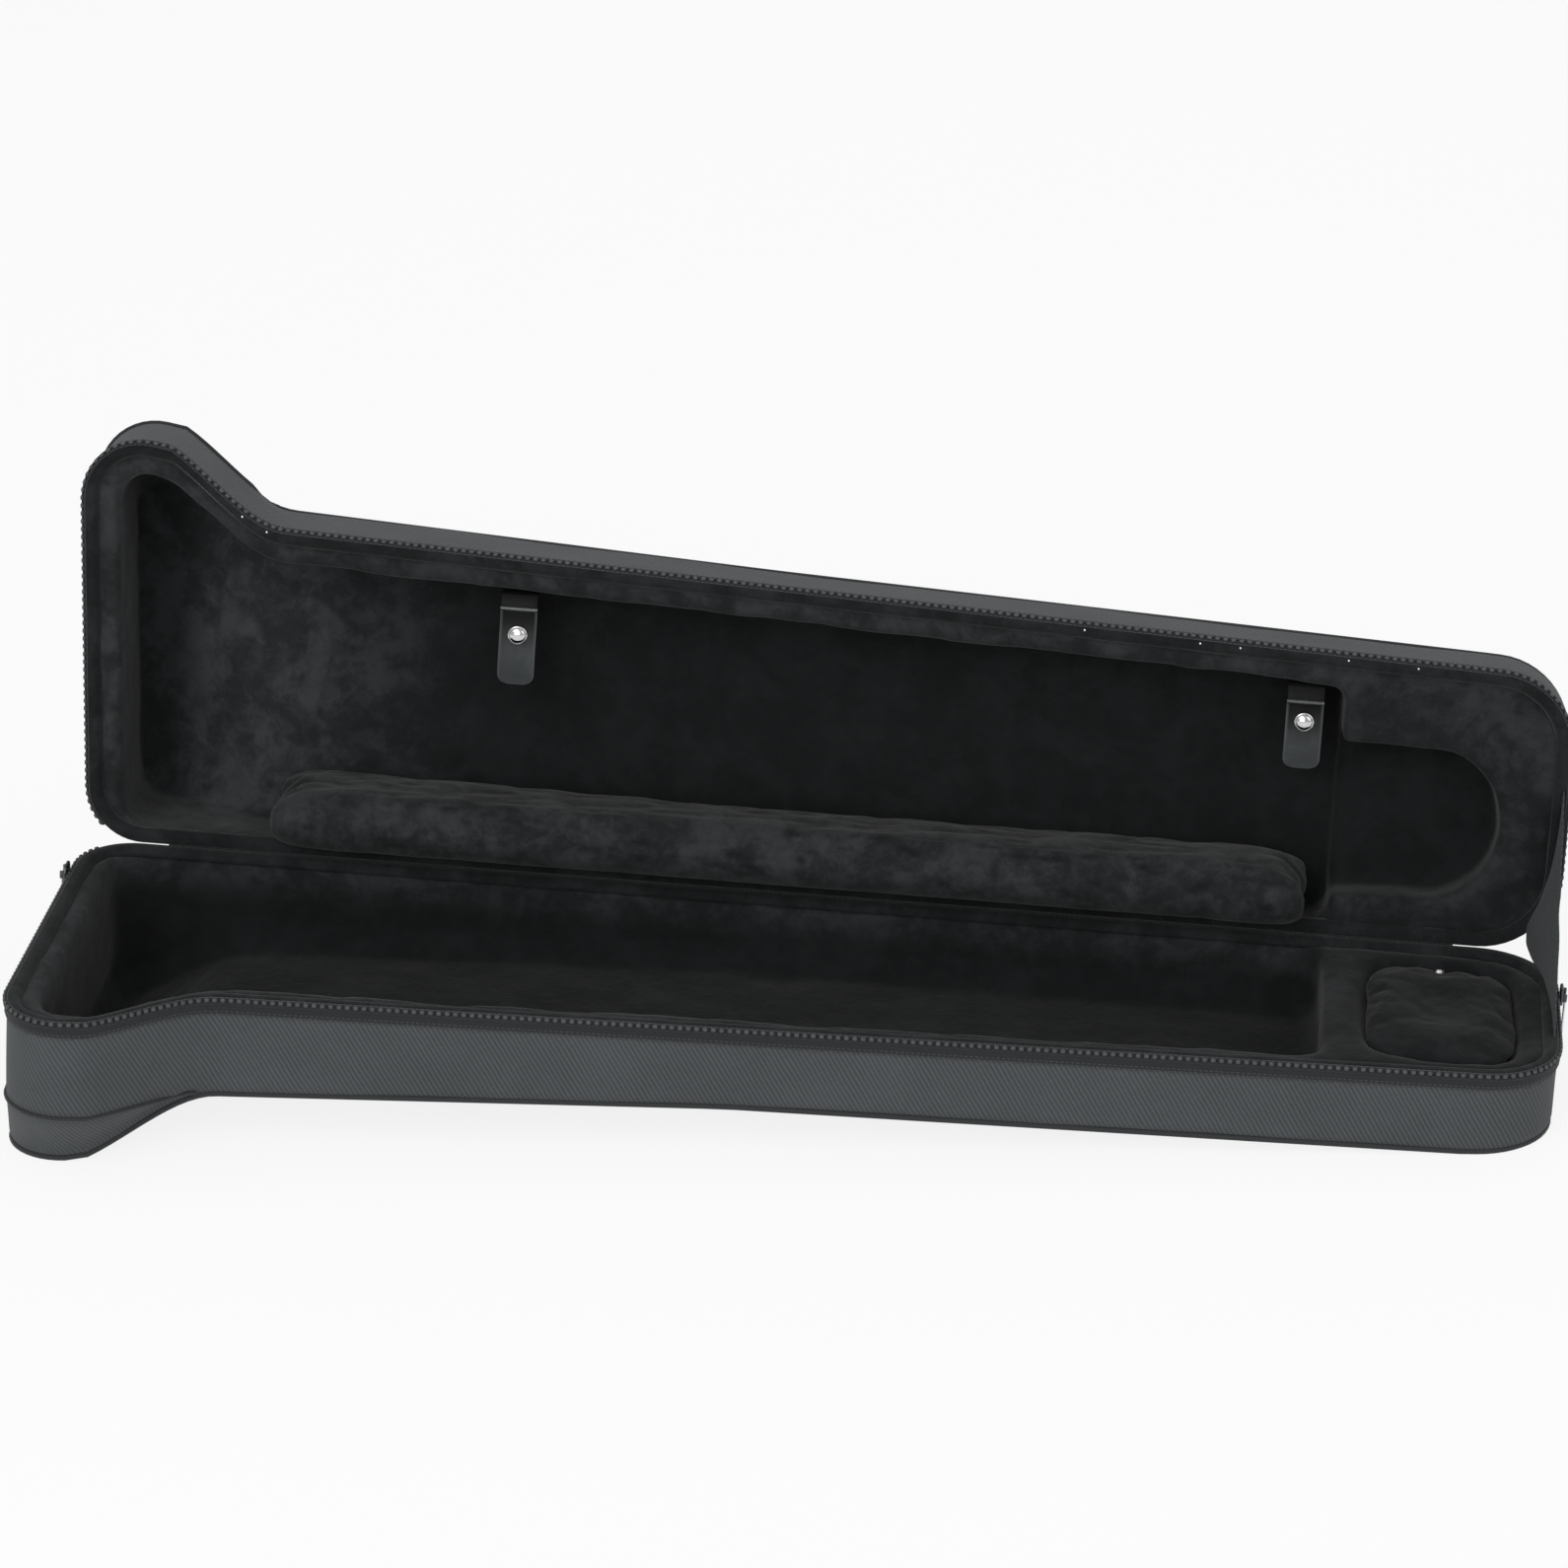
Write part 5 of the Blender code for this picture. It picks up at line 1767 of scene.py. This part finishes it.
    def half_width(self, down: float) -> float:
        """Give half the flap's width at a distance from its fold."""
        over = max(down - self.flap_length + self.flap_corner, 0.0)
        return self.width / 2 - self.flap_corner + math.sqrt(max(self.flap_corner ** 2 - over ** 2, 0.0))

    def cut_edge(self, x: float, down: float) -> float:
        """Give 1 at the flap's cut edge, which takes a painted highlight, and 0 inside."""
        aside = abs(x - self.x) > self.half_width(down) - self.edge_reach
        return float(down > self.edge_reach and aside or down > self.flap_length - self.edge_reach)

    def flap(self, name: str, place: Matrix, fold_y: float) -> None:
        """Make the flap: pressed in under its fold, bowed over what it holds, with a raised border.

        Args:
            name: Name of the strap and of its body.
            place: Matrix of the lid.
            fold_y: Place of the fold.
        """
        rows, columns = self.flap_steps

        def spot(i: int, j: int) -> Vector:
            """Place a point of the flap.

            Args:
                i: Row from the fold.
                j: Column from the left.

            Returns:
                The point in the frame of the lid.
            """
            down = self.flap_length * i / rows
            share = 2 * j / columns - 1
            dip = self.dip * math.sin(math.pi * min(down / self.snap_drop, 1.0))
            free = (down - self.snap_drop) / (self.flap_length - self.snap_drop)
            bow = self.bow * math.sin(math.pi * max(free, 0.0))
            raised = abs(share) > self.border_side_share or down > self.flap_length - self.border_end
            height = -self.gap - self.thickness / 2 - dip + bow + self.border * raised
            return Vector((self.x + self.half_width(down) * share, fold_y + down, height))

        # The flap's cut edge takes a painted highlight through its nap value.
        flap = self.shop.add(name + "_flap_leather", grid_surface(rows, columns, spot), FLAP_LEATHER, name,
                             place, [name + "_flap"], nap=lambda p: self.cut_edge(p.x, p.y - fold_y))
        thicken(flap, self.thickness * self.flap_thickness_share, 0.0)
        self.break_edges(flap)


@dataclass
class Handle:
    """The carrying handle on the base's hinge side: webbing, grip, patches and rivets."""

    shop: Shop
    centre: float = 0.440
    span: float = 0.220
    arch: float = 0.026
    height: float = -0.0345
    webbing_width: float = 0.022
    webbing_thickness: float = 0.0020
    webbing_step: float = 0.004
    across_steps: int = 6
    arch_steps: int = 12
    foot: float = 0.034
    grip_length: float = 0.095
    grip_clearance: float = 0.0025
    grip_size: Pair = (0.0110, 0.0270)
    grip_steps: int = 24
    grip_swell: float = 0.05
    grip_end_rise: float = 9.0
    grip_end_shares: Pair = (0.42, 0.86)
    grip_squareness: float = 0.6
    grip_stitch_size: Triple = (0.0015, 0.0004, 0.0005)
    grip_stitch_pitch: float = 0.004
    grip_half_stitches: int = 10
    grip_seam_height: float = 0.0075
    stitch_sink: float = 0.0001
    patch_size: Pair = (0.024, 0.022)
    patch_thickness: float = 0.0014
    patch_round: float = 0.0005
    patch_stitch_size: Triple = (0.0010, 0.0003, 0.0003)
    patch_stitch_pitch: float = 0.0028
    patch_seam_inset: float = 0.0018
    rivet_size: Triple = (0.0034, 0.0017, 0.0008)
    gap: float = 0.0003

    def build(self) -> None:
        """Make the handle's pieces."""
        place = self.shop.frames.base
        half = self.span / 2
        near = self.gap + self.webbing_thickness / 2
        start = self.foot - half
        rise = half - self.foot - self.grip_length / 2 - self.grip_clearance
        path = [(-half, near), (start, near)]
        for step in range(1, self.arch_steps + 1):
            share = step / self.arch_steps
            path.append((start + rise * share, near + (self.arch - near) * (1 - smooth_fade(share, 0, 1))))
        path += [(-x, y) for x, y in reversed(path)]
        points = resampled([Vector((self.centre + x, y, self.height)) for x, y in path], self.webbing_step)
        steps = self.across_steps
        band = grid_surface(len(points) - 1, steps,
                            lambda i, j: points[i] + Vector((0, 0, self.webbing_width * (j / steps - 0.5))))
        webbing = self.shop.add("handle_band", band, WEBBING, "base", place, ["handle_webbing"])
        thicken(webbing, self.webbing_thickness, 0.0)
        self.grip(place)
        for side, name in ((-1, "left"), (1, "right")):
            self.tab(name, place, self.centre + side * (half - self.foot / 2))

    def tab(self, name: str, place: Matrix, x: float) -> None:
        """Lay a leather patch with its rivet and stitches over a foot of the webbing.

        Args:
            name: The side.
            place: Matrix of the base.
            x: Place along the case.
        """
        y = 2 * self.gap + self.webbing_thickness + self.patch_thickness / 2
        face = y + self.patch_thickness / 2
        width, tall = self.patch_size
        patch = block((width, self.patch_thickness, tall), self.patch_round, (x, y, self.height))
        self.shop.add("handle_tab_" + name, patch, LEATHER, "base", place, ["handle_patch_" + name])
        spot = Matrix.Translation((x, face, self.height)) @ Matrix.Rotation(-math.pi / 2, 4, "X")
        self.shop.add("handle_stud_" + name, turned(dome(*self.rivet_size), SMALL_TURN), CHROME, "base",
                      place @ spot, ["handle_rivet_" + name])
        wide, high = width / 2 - self.patch_seam_inset, tall / 2 - self.patch_seam_inset
        corners = [Vector((x + wide * right, face, self.height + high * up))
                   for right, up in ((-1, -1), (1, -1), (1, 1), (-1, 1), (-1, -1))]
        turns = [Matrix.Translation(p) @ Matrix.Rotation(-math.atan2(w.z, w.x), 4, "Y")
                 for side in zip(corners, corners[1:]) for p, w in spaced(side, self.patch_stitch_pitch)]
        seam = repeated(stitch(self.patch_stitch_size), turns)
        self.shop.add(f"handle_tab_{name}_seam", seam, STRAP_SEWING, "base", place)

    def grip(self, place: Matrix) -> None:
        """Make the leather grip, fuller in the middle, and its seam.

        Args:
            place: Matrix of the base.
        """
        deep, tall = self.grip_size
        steps = self.grip_steps
        deep_end, tall_end = self.grip_end_shares

        def section(i: int, j: int) -> Vector:
            """Place a point of the grip.

            Args:
                i: Section along the grip.
                j: Point round the section.

            Returns:
                The point in the frame of the base.
            """
            along = i / steps
            end = min(along, 1 - along) * 2
            swell = 1 - self.grip_swell + self.grip_swell * math.sin(math.pi * along)
            full = math.sqrt(max(0.0, 1 - (1 - min(end * self.grip_end_rise, 1.0)) ** 2)) * swell
            angle = 2 * math.pi * j / steps
            out, up = (math.copysign(abs(turn) ** self.grip_squareness, turn)
                       for turn in (math.cos(angle), math.sin(angle)))
            return Vector((self.centre + self.grip_length * (along - 0.5),
                           self.arch + deep / 2 * out * (deep_end + (1 - deep_end) * full),
                           self.height + tall / 2 * up * (tall_end + (1 - tall_end) * full)))

        bm = grid_surface(steps, steps, section)
        bmesh.ops.remove_doubles(bm, verts=bm.verts, dist=MERGE)
        bmesh.ops.holes_fill(bm, edges=bm.edges, sides=steps)
        self.shop.add("handle_leather_grip", bm, LEATHER, "base", place, ["handle_grip"])
        face = self.arch + deep / 2 - self.stitch_sink
        turns = [Matrix.Translation((self.centre + self.grip_stitch_pitch * n, face, self.height + level))
                 for n in range(-self.grip_half_stitches, self.grip_half_stitches + 1)
                 for level in (-self.grip_seam_height, self.grip_seam_height)]
        seam = repeated(stitch(self.grip_stitch_size), turns)
        self.shop.add("handle_grip_seam", seam, STRAP_SEWING, "base", place)


@dataclass
class Slider:
    """A zip slider and its hanging pull, parked at one end of the zip."""

    shop: Shop
    side: str
    length: float = 0.014
    height: float = 0.011
    thickness: float = 0.0020
    steps: int = 16
    waist_share: float = 0.12
    blunt_share: float = 1.5
    edge_round: float = 0.0006
    lug_size: Triple = (0.0015, 0.0026, 0.0052)
    lug_round: float = 0.0005
    lug_sink: float = 0.0003
    lug_aside: float = 0.0011
    pin_aside: float = 0.0016
    pin_radius: float = 0.0004
    park: float = 0.004
    sink: float = 0.002
    pull_length: float = 0.026
    pull_width: float = 0.0075
    pull_thickness: float = 0.0014
    pull_top: float = 0.0007
    pull_top_share: float = 0.98
    pull_waist_share: float = 0.38
    pull_down_shares: tuple[float, ...] = (0.2, 0.4, 0.55, 0.7)
    pull_end_steps: int = 12
    pull_round: float = 0.0004
    pull_swing_share: float = 0.75
    tooth_reach: float = 0.0020
    gap: float = 0.0003

    def place(self) -> tuple[Matrix, float]:
        """Say where the slider stands on the base's half of the zip.

        Returns:
            Its frame, x along the zip and z up, and the sign of its outward side.
        """
        shape = self.shop.outline
        if self.side == "bell":
            first = -shape.bell_corner - self.park
            last = shape.front_edge(0.0) + shape.bell_corner + self.park
            start, end = Vector((shape.bell_edge(first), first)), Vector((shape.bell_edge(last), last))
            outward = -1.0
        else:
            start = Vector((shape.length, -shape.tail_corner))
            end = Vector((shape.length, shape.front_edge(shape.length) + shape.tail_corner))
            outward = 1.0
        way = (end - start).normalized()
        middle = start + way * self.length / 2
        turn = Matrix.Rotation(math.atan2(way.y, way.x), 4, "Z")
        return self.shop.frames.base @ Matrix.Translation((middle.x, middle.y, -self.sink)) @ turn, outward

    def build(self) -> None:
        """Make the slider's body with its bridge, and the pull."""
        frame, out = self.place()
        frame = frame @ Matrix.Diagonal((1.0, out, 1.0, 1.0))
        inner = 3 * self.gap + self.tooth_reach
        outer = inner + self.thickness
        outline = []
        for step in range(self.steps + 1):
            angle = math.pi * step / self.steps
            outline.append((self.length / 2 * math.cos(angle) * (1 - self.waist_share * math.sin(angle)),
                            self.height / 2 * min(1.0, math.sin(angle) * self.blunt_share)))
        outline += [(x, -y) for x, y in reversed(outline[1:-1])]
        shell = plate(outline, self.thickness, self.edge_round)
        lie = Matrix.Translation((0, inner + self.thickness / 2, 0)) @ Matrix.Rotation(math.pi / 2, 4, "X")
        bmesh.ops.transform(shell, matrix=lie, verts=shell.verts)
        half = self.pull_width / 2
        lug_y = outer + self.lug_size[1] / 2 - self.lug_sink
        lugs = [block(self.lug_size, self.lug_round, (x, lug_y, 0))
                for x in (-half - self.lug_aside, half + self.lug_aside)]
        swing = outer + self.gap + self.pull_thickness * self.pull_swing_share
        pin = tube([Vector((x, swing, 0.0)) for x in (-half - self.pin_aside, 0.0, half + self.pin_aside)],
                   self.pin_radius)
        body = joined(shell, *lugs, pin)
        self.shop.add("slider_" + self.side + "_body", body, SLIDER_METAL, "slider_" + self.side, frame,
                      ["zip_slider_" + self.side])
        self.pull(frame, swing)

    def pull(self, frame: Matrix, swing: float) -> None:
        """Make the pull: a waisted plate with a rounded end.

        Args:
            frame: The slider's frame.
            swing: How far out its pin stands.
        """
        half = self.pull_width / 2
        top = half * self.pull_top_share
        outline = [(top, -self.pull_top), (-top, -self.pull_top)]
        for down in self.pull_down_shares:
            waist = self.pull_waist_share * math.sin(math.pi * down)
            outline.append((-half * (self.pull_top_share - waist), -self.pull_length * down))
        waisted = outline[2:]
        for step in range(self.pull_end_steps + 1):
            angle = math.pi * (1 + step / self.pull_end_steps)
            outline.append((half * math.cos(angle), -self.pull_length + half * (1 + math.sin(angle))))
        outline += [(-x, y) for x, y in reversed(waisted)]
        bm = plate(outline, self.pull_thickness, self.pull_round)
        lie = Matrix.Translation((0, swing, 0)) @ Matrix.Rotation(math.pi / 2, 4, "X")
        self.shop.add("pull_" + self.side + "_plate", bm, CHROME, "pull_" + self.side, frame @ lie,
                      ["zip_pull_" + self.side], crease=0.5)


@dataclass
class HingeCloth:
    """The cloth that joins the halves: the spine along the hinge and the stay at the tail end."""

    shop: Shop
    spine_start: float = 0.050
    spine_to_tail: float = 0.062
    spine_leg: float = 0.019
    spine_thickness: float = 0.0008
    spine_bend: float = 0.0035
    spine_step: float = 0.0016
    spine_columns: int = 110
    stay_thickness: float = 0.0010
    stay_base: Pair = (0.046, 0.122)
    stay_lid: Pair = (0.040, 0.104)
    stay_bow: float = 0.016
    stay_steps: int = 28
    stay_crease: float = 0.0012
    stay_crease_counts: Pair = (3.0, 7.0)
    stay_crease_seed: float = 4.0
    stay_flat_share: float = 1.3
    gap: float = 0.0003

    def opened(self, y: float, z: float) -> Vector:
        """Turn a place of the closed lid to where the open lid has it."""
        return Matrix.Rotation(-self.shop.frames.opened, 3, "X") @ Vector((0.0, y, z))

    def tail_edge(self, y: float, side: float) -> float:
        """Give x of the tail end.

        Args:
            y: Where across the case.
            side: How far inside the outer wall.

        Returns:
            The place along the case, its round corner at the hinge included.
        """
        shape = self.shop.outline
        reach = min(max(shape.tail_corner + y, 0.0), shape.tail_corner)
        return shape.length - shape.tail_corner + math.sqrt(shape.tail_corner ** 2 - reach ** 2) - side

    def build(self) -> None:
        """Make the spine and the stay."""
        self.spine()
        self.stay()

    def spine(self) -> None:
        """Run the cloth from the base's back wall over the hinge to the lid's."""
        skin = self.gap + self.spine_thickness / 2
        low = self.spine_leg
        path = [Vector((0, skin, -low)), Vector((0, skin, -low / 2)), Vector((0, skin, -self.spine_bend))]
        up = self.opened(skin, self.spine_bend)
        path.append(Vector((0, (skin + up.y) / 2 + skin, (up.z - self.spine_bend) / 2)))
        path += [up, self.opened(skin, low / 2), self.opened(skin, low)]
        points = resampled(path, self.spine_step)
        start, end = self.spine_start, self.shop.outline.length - self.spine_to_tail
        columns = self.spine_columns
        bm = grid_surface(columns, len(points) - 1,
                          lambda i, j: points[j] + Vector((start + (end - start) * i / columns, 0, 0)))
        base = self.shop.frames.base
        middle = (start + end) / 2
        piece = self.shop.add("spine_cloth_strip", bm, SPINE_CLOTH, None, base, ["spine_hinge"])
        thicken(piece, self.spine_thickness, 0.0)
        end - start
        path_length(path)
        base @ Vector((middle, skin, -self.spine_bend))
        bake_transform(piece)

    def stay(self) -> None:
        """Hang the stay between the two rims, drawn in at the back and slightly creased."""
        steps = self.stay_steps
        lift = self.gap - self.shop.outline.rim_gap
        side = self.shop.outline.wall / 2

        def place(i: int, j: int) -> Vector:
            """Place a point of the stay.

            Args:
                i: Column from the hinge side.
                j: Row from the base's rim.

            Returns:
                The point in the frame of the base.
            """
            across, rise = i / steps, j / steps
            base_y = -self.stay_base[0] - (self.stay_base[1] - self.stay_base[0]) * across
            lid_y = -self.stay_lid[0] - (self.stay_lid[1] - self.stay_lid[0]) * across
            low = Vector((self.tail_edge(base_y, side), base_y, lift))
            high = self.opened(lid_y, -lift)
            high.x = self.tail_edge(lid_y, side)
            point = low.lerp(high, rise)
            bow = math.sin(math.pi * rise)
            wide, tall = self.stay_crease_counts
            crease = noise.noise(Vector((across * wide, rise * tall, self.stay_crease_seed)))
            point.x -= self.stay_bow * bow * (1 - across)
            point.x += self.stay_crease * bow * crease
            return point

        bm = grid_surface(steps, steps, place)
        base = self.shop.frames.base
        area = sum(face.calc_area() for face in bm.faces)
        wide = self.stay_base[1] - self.stay_base[0]
        middle_base = -sum(self.stay_base) / 2
        high = self.opened(-sum(self.stay_lid) / 2, -lift)
        tall = (Vector((0, middle_base, lift)) - high).length
        piece = self.shop.add("stay_cloth_gusset", bm, STAY_CLOTH, None, base, ["lid_stay"])
        thicken(piece, self.stay_thickness, 0.0)
        flat = (wide, max(tall, area / wide) * self.stay_flat_share)
        min(area, flat[0] * flat[1])
        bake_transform(piece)


@dataclass(frozen=True)
class Lamp:
    """A soft square lamp that points at the case."""

    name: str
    place: Triple
    size: float
    power: float

    def hang(self, aim: Vector) -> None:
        """Hang the lamp.

        Args:
            aim: The place at which it points.
        """
        data = bpy.data.lights.new(self.name, "AREA")
        data.size = self.size
        data.energy = self.power
        lamp = bpy.data.objects.new(self.name, data)
        bpy.context.scene.collection.objects.link(lamp)
        lamp.location = self.place
        lamp.rotation_euler = (aim - Vector(self.place)).to_track_quat("-Z", "Y").to_euler()


@dataclass(frozen=True)
class Studio:
    """Floor, lights and camera."""

    azimuth: float = math.radians(3.12)
    elevation: float = math.radians(24.43)
    roll: float = math.radians(3.12)
    distance: float = 3.94
    focal: float = 6605.0
    target: Triple = (0.441, -0.1, 0.12)
    sensor: float = 36.0
    floor_size: float = 60.0
    floor_grey: float = 0.90
    floor_white_share: float = 0.85
    sky: float = 0.55
    aim_height: float = 0.15
    lamps: tuple[Lamp, ...] = (Lamp("key", (-1.2, -2.2, 2.6), 2.2, 28.0),
                               Lamp("front", (-0.5, -3.4, 1.5), 2.2, 34.0),
                               Lamp("fill", (2.4, -1.6, 1.8), 2.0, 14.0),
                               Lamp("back", (0.3, 2.2, 2.4), 2.0, 10.0))

    def camera(self, base: Matrix) -> None:
        """Set the camera where the photograph was taken from.

        Args:
            base: Matrix of the base.
        """
        az, el = self.azimuth, self.elevation
        back = Vector((math.sin(az) * math.cos(el), -math.cos(az) * math.cos(el), math.sin(el)))
        right = (-back).cross(Vector((0, 0, 1))).normalized()
        up = right.cross(-back)
        x_axis = right * math.cos(self.roll) + up * math.sin(self.roll)
        y_axis = -right * math.sin(self.roll) + up * math.cos(self.roll)
        turn = Matrix((x_axis, y_axis, back)).transposed().to_4x4()
        spot = Matrix.Translation(Vector(self.target) + back * self.distance)
        data = bpy.data.cameras.new("photo_camera")
        data.sensor_width = self.sensor
        data.lens = self.sensor * self.focal / PHOTO_SIZE
        camera = bpy.data.objects.new("photo_camera", data)
        bpy.context.scene.collection.objects.link(camera)
        camera.matrix_world = base @ spot @ turn
        bpy.context.scene.camera = camera

    def floor(self) -> None:
        """Lay a pale floor that is white to the camera and keeps the object's shadow."""
        bm = bmesh.new()
        bmesh.ops.create_grid(bm, x_segments=2, y_segments=2, size=self.floor_size / 2)
        mesh = bpy.data.meshes.new("floor")
        bm.to_mesh(mesh)
        bm.free()
        floor = bpy.data.objects.new("floor", mesh)
        bpy.context.scene.collection.objects.link(floor)
        graph = Graph("pale_floor")
        graph.surface(Base_Color=(self.floor_grey,) * 3, Roughness=0.9, Specular_IOR_Level=0.0)
        white = graph.node("ShaderNodeEmission", inputs={"Color": (1.0, 1.0, 1.0), "Strength": 1.0})
        rays = graph.node("ShaderNodeLightPath").outputs
        seen = graph.calc("MAXIMUM", Value(graph, rays["Is Camera Ray"]), Value(graph, rays["Is Glossy Ray"]))
        mix = graph.node("ShaderNodeMixShader", inputs={
            0: seen * self.floor_white_share, 1: graph.shader.outputs[0], 2: white.outputs[0]})
        graph.feed(graph.output.inputs["Surface"], mix.outputs[0])
        mesh.materials.append(graph.material)

    def world(self) -> None:
        """Light the room with an even pale sky that the camera sees as white."""
        world = bpy.data.worlds.new("room")
        bpy.context.scene.world = world
        world.use_nodes = True
        tree = world.node_tree
        tree.nodes.clear()
        rays = tree.nodes.new("ShaderNodeLightPath")
        soft = tree.nodes.new("ShaderNodeBackground")
        soft.inputs["Color"].default_value = (1.0, 1.0, 1.0, 1.0)
        soft.inputs["Strength"].default_value = self.sky
        white = tree.nodes.new("ShaderNodeBackground")
        white.inputs["Strength"].default_value = 1.0
        mix = tree.nodes.new("ShaderNodeMixShader")
        out = tree.nodes.new("ShaderNodeOutputWorld")
        tree.links.new(rays.outputs["Is Camera Ray"], mix.inputs[0])
        tree.links.new(soft.outputs[0], mix.inputs[1])
        tree.links.new(white.outputs[0], mix.inputs[2])
        tree.links.new(mix.outputs[0], out.inputs["Surface"])

    def build(self, base: Matrix) -> None:
        """Make the whole studio.

        Args:
            base: Matrix of the base.
        """
        self.camera(base)
        self.floor()
        self.world()
        for lamp in self.lamps:
            lamp.hang(Vector((0.0, 0.0, self.aim_height)))
        bpy.context.scene.view_settings.view_transform = "Standard"


def main() -> None:
    """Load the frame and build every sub-assembly around it."""
    logging.basicConfig(level=logging.INFO, format="%(message)s")
    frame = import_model()
    hinge = next(joint for joint in frame["joints"] if joint["name"] == "lid_hinge")
    frames = CaseFrame.from_joint(hinge)
    Studio().build(frames.base)
    shop = Shop(frames, CaseOutline(), frame["nodes"])
    for half in Half:
        Cover(shop, half).build()
        Zip(shop, half).build()
        Lining(shop, half).build()
    # The lit values set each pad's painted light level.
    Pad(shop, "lid_block_pad", "lid_pad_block", Half.LID, "lid", voxel=0.0040, pressure=4.0, cap=0.006,
        wrinkle=0.0036, wrinkle_size=Vector((0.060, 0.012, 0.012)), seed=5.0, fill=0.7, lit=1.2,
        back_limit=-0.0103).build()
    Pad(shop, "pocket_pad", "accessory_lid", Half.BASE, "accessory_lid", voxel=0.0030, pressure=3.0,
        cap=0.0025, wrinkle=0.0022, wrinkle_size=Vector((0.022, 0.022, 0.022)), seed=9.0, fill=0.6,
        tuft=PadStud(shop).build(), lit=0.2).build()
    Tacks(shop).build()
    Strap(shop, "left", x=0.2635, fold_inset=0.0310, flap_length=0.048, snap_drop=0.0165,
          tube_drop=0.0398).build()
    Strap(shop, "right", x=0.7540, fold_inset=0.0320, flap_length=0.042, snap_drop=0.0125,
          tube_drop=0.0192).build()
    Handle(shop).build()
    for side in ("bell", "tail"):
        Slider(shop, side).build()
    HingeCloth(shop).build()


if __name__ == "__main__":
    main()
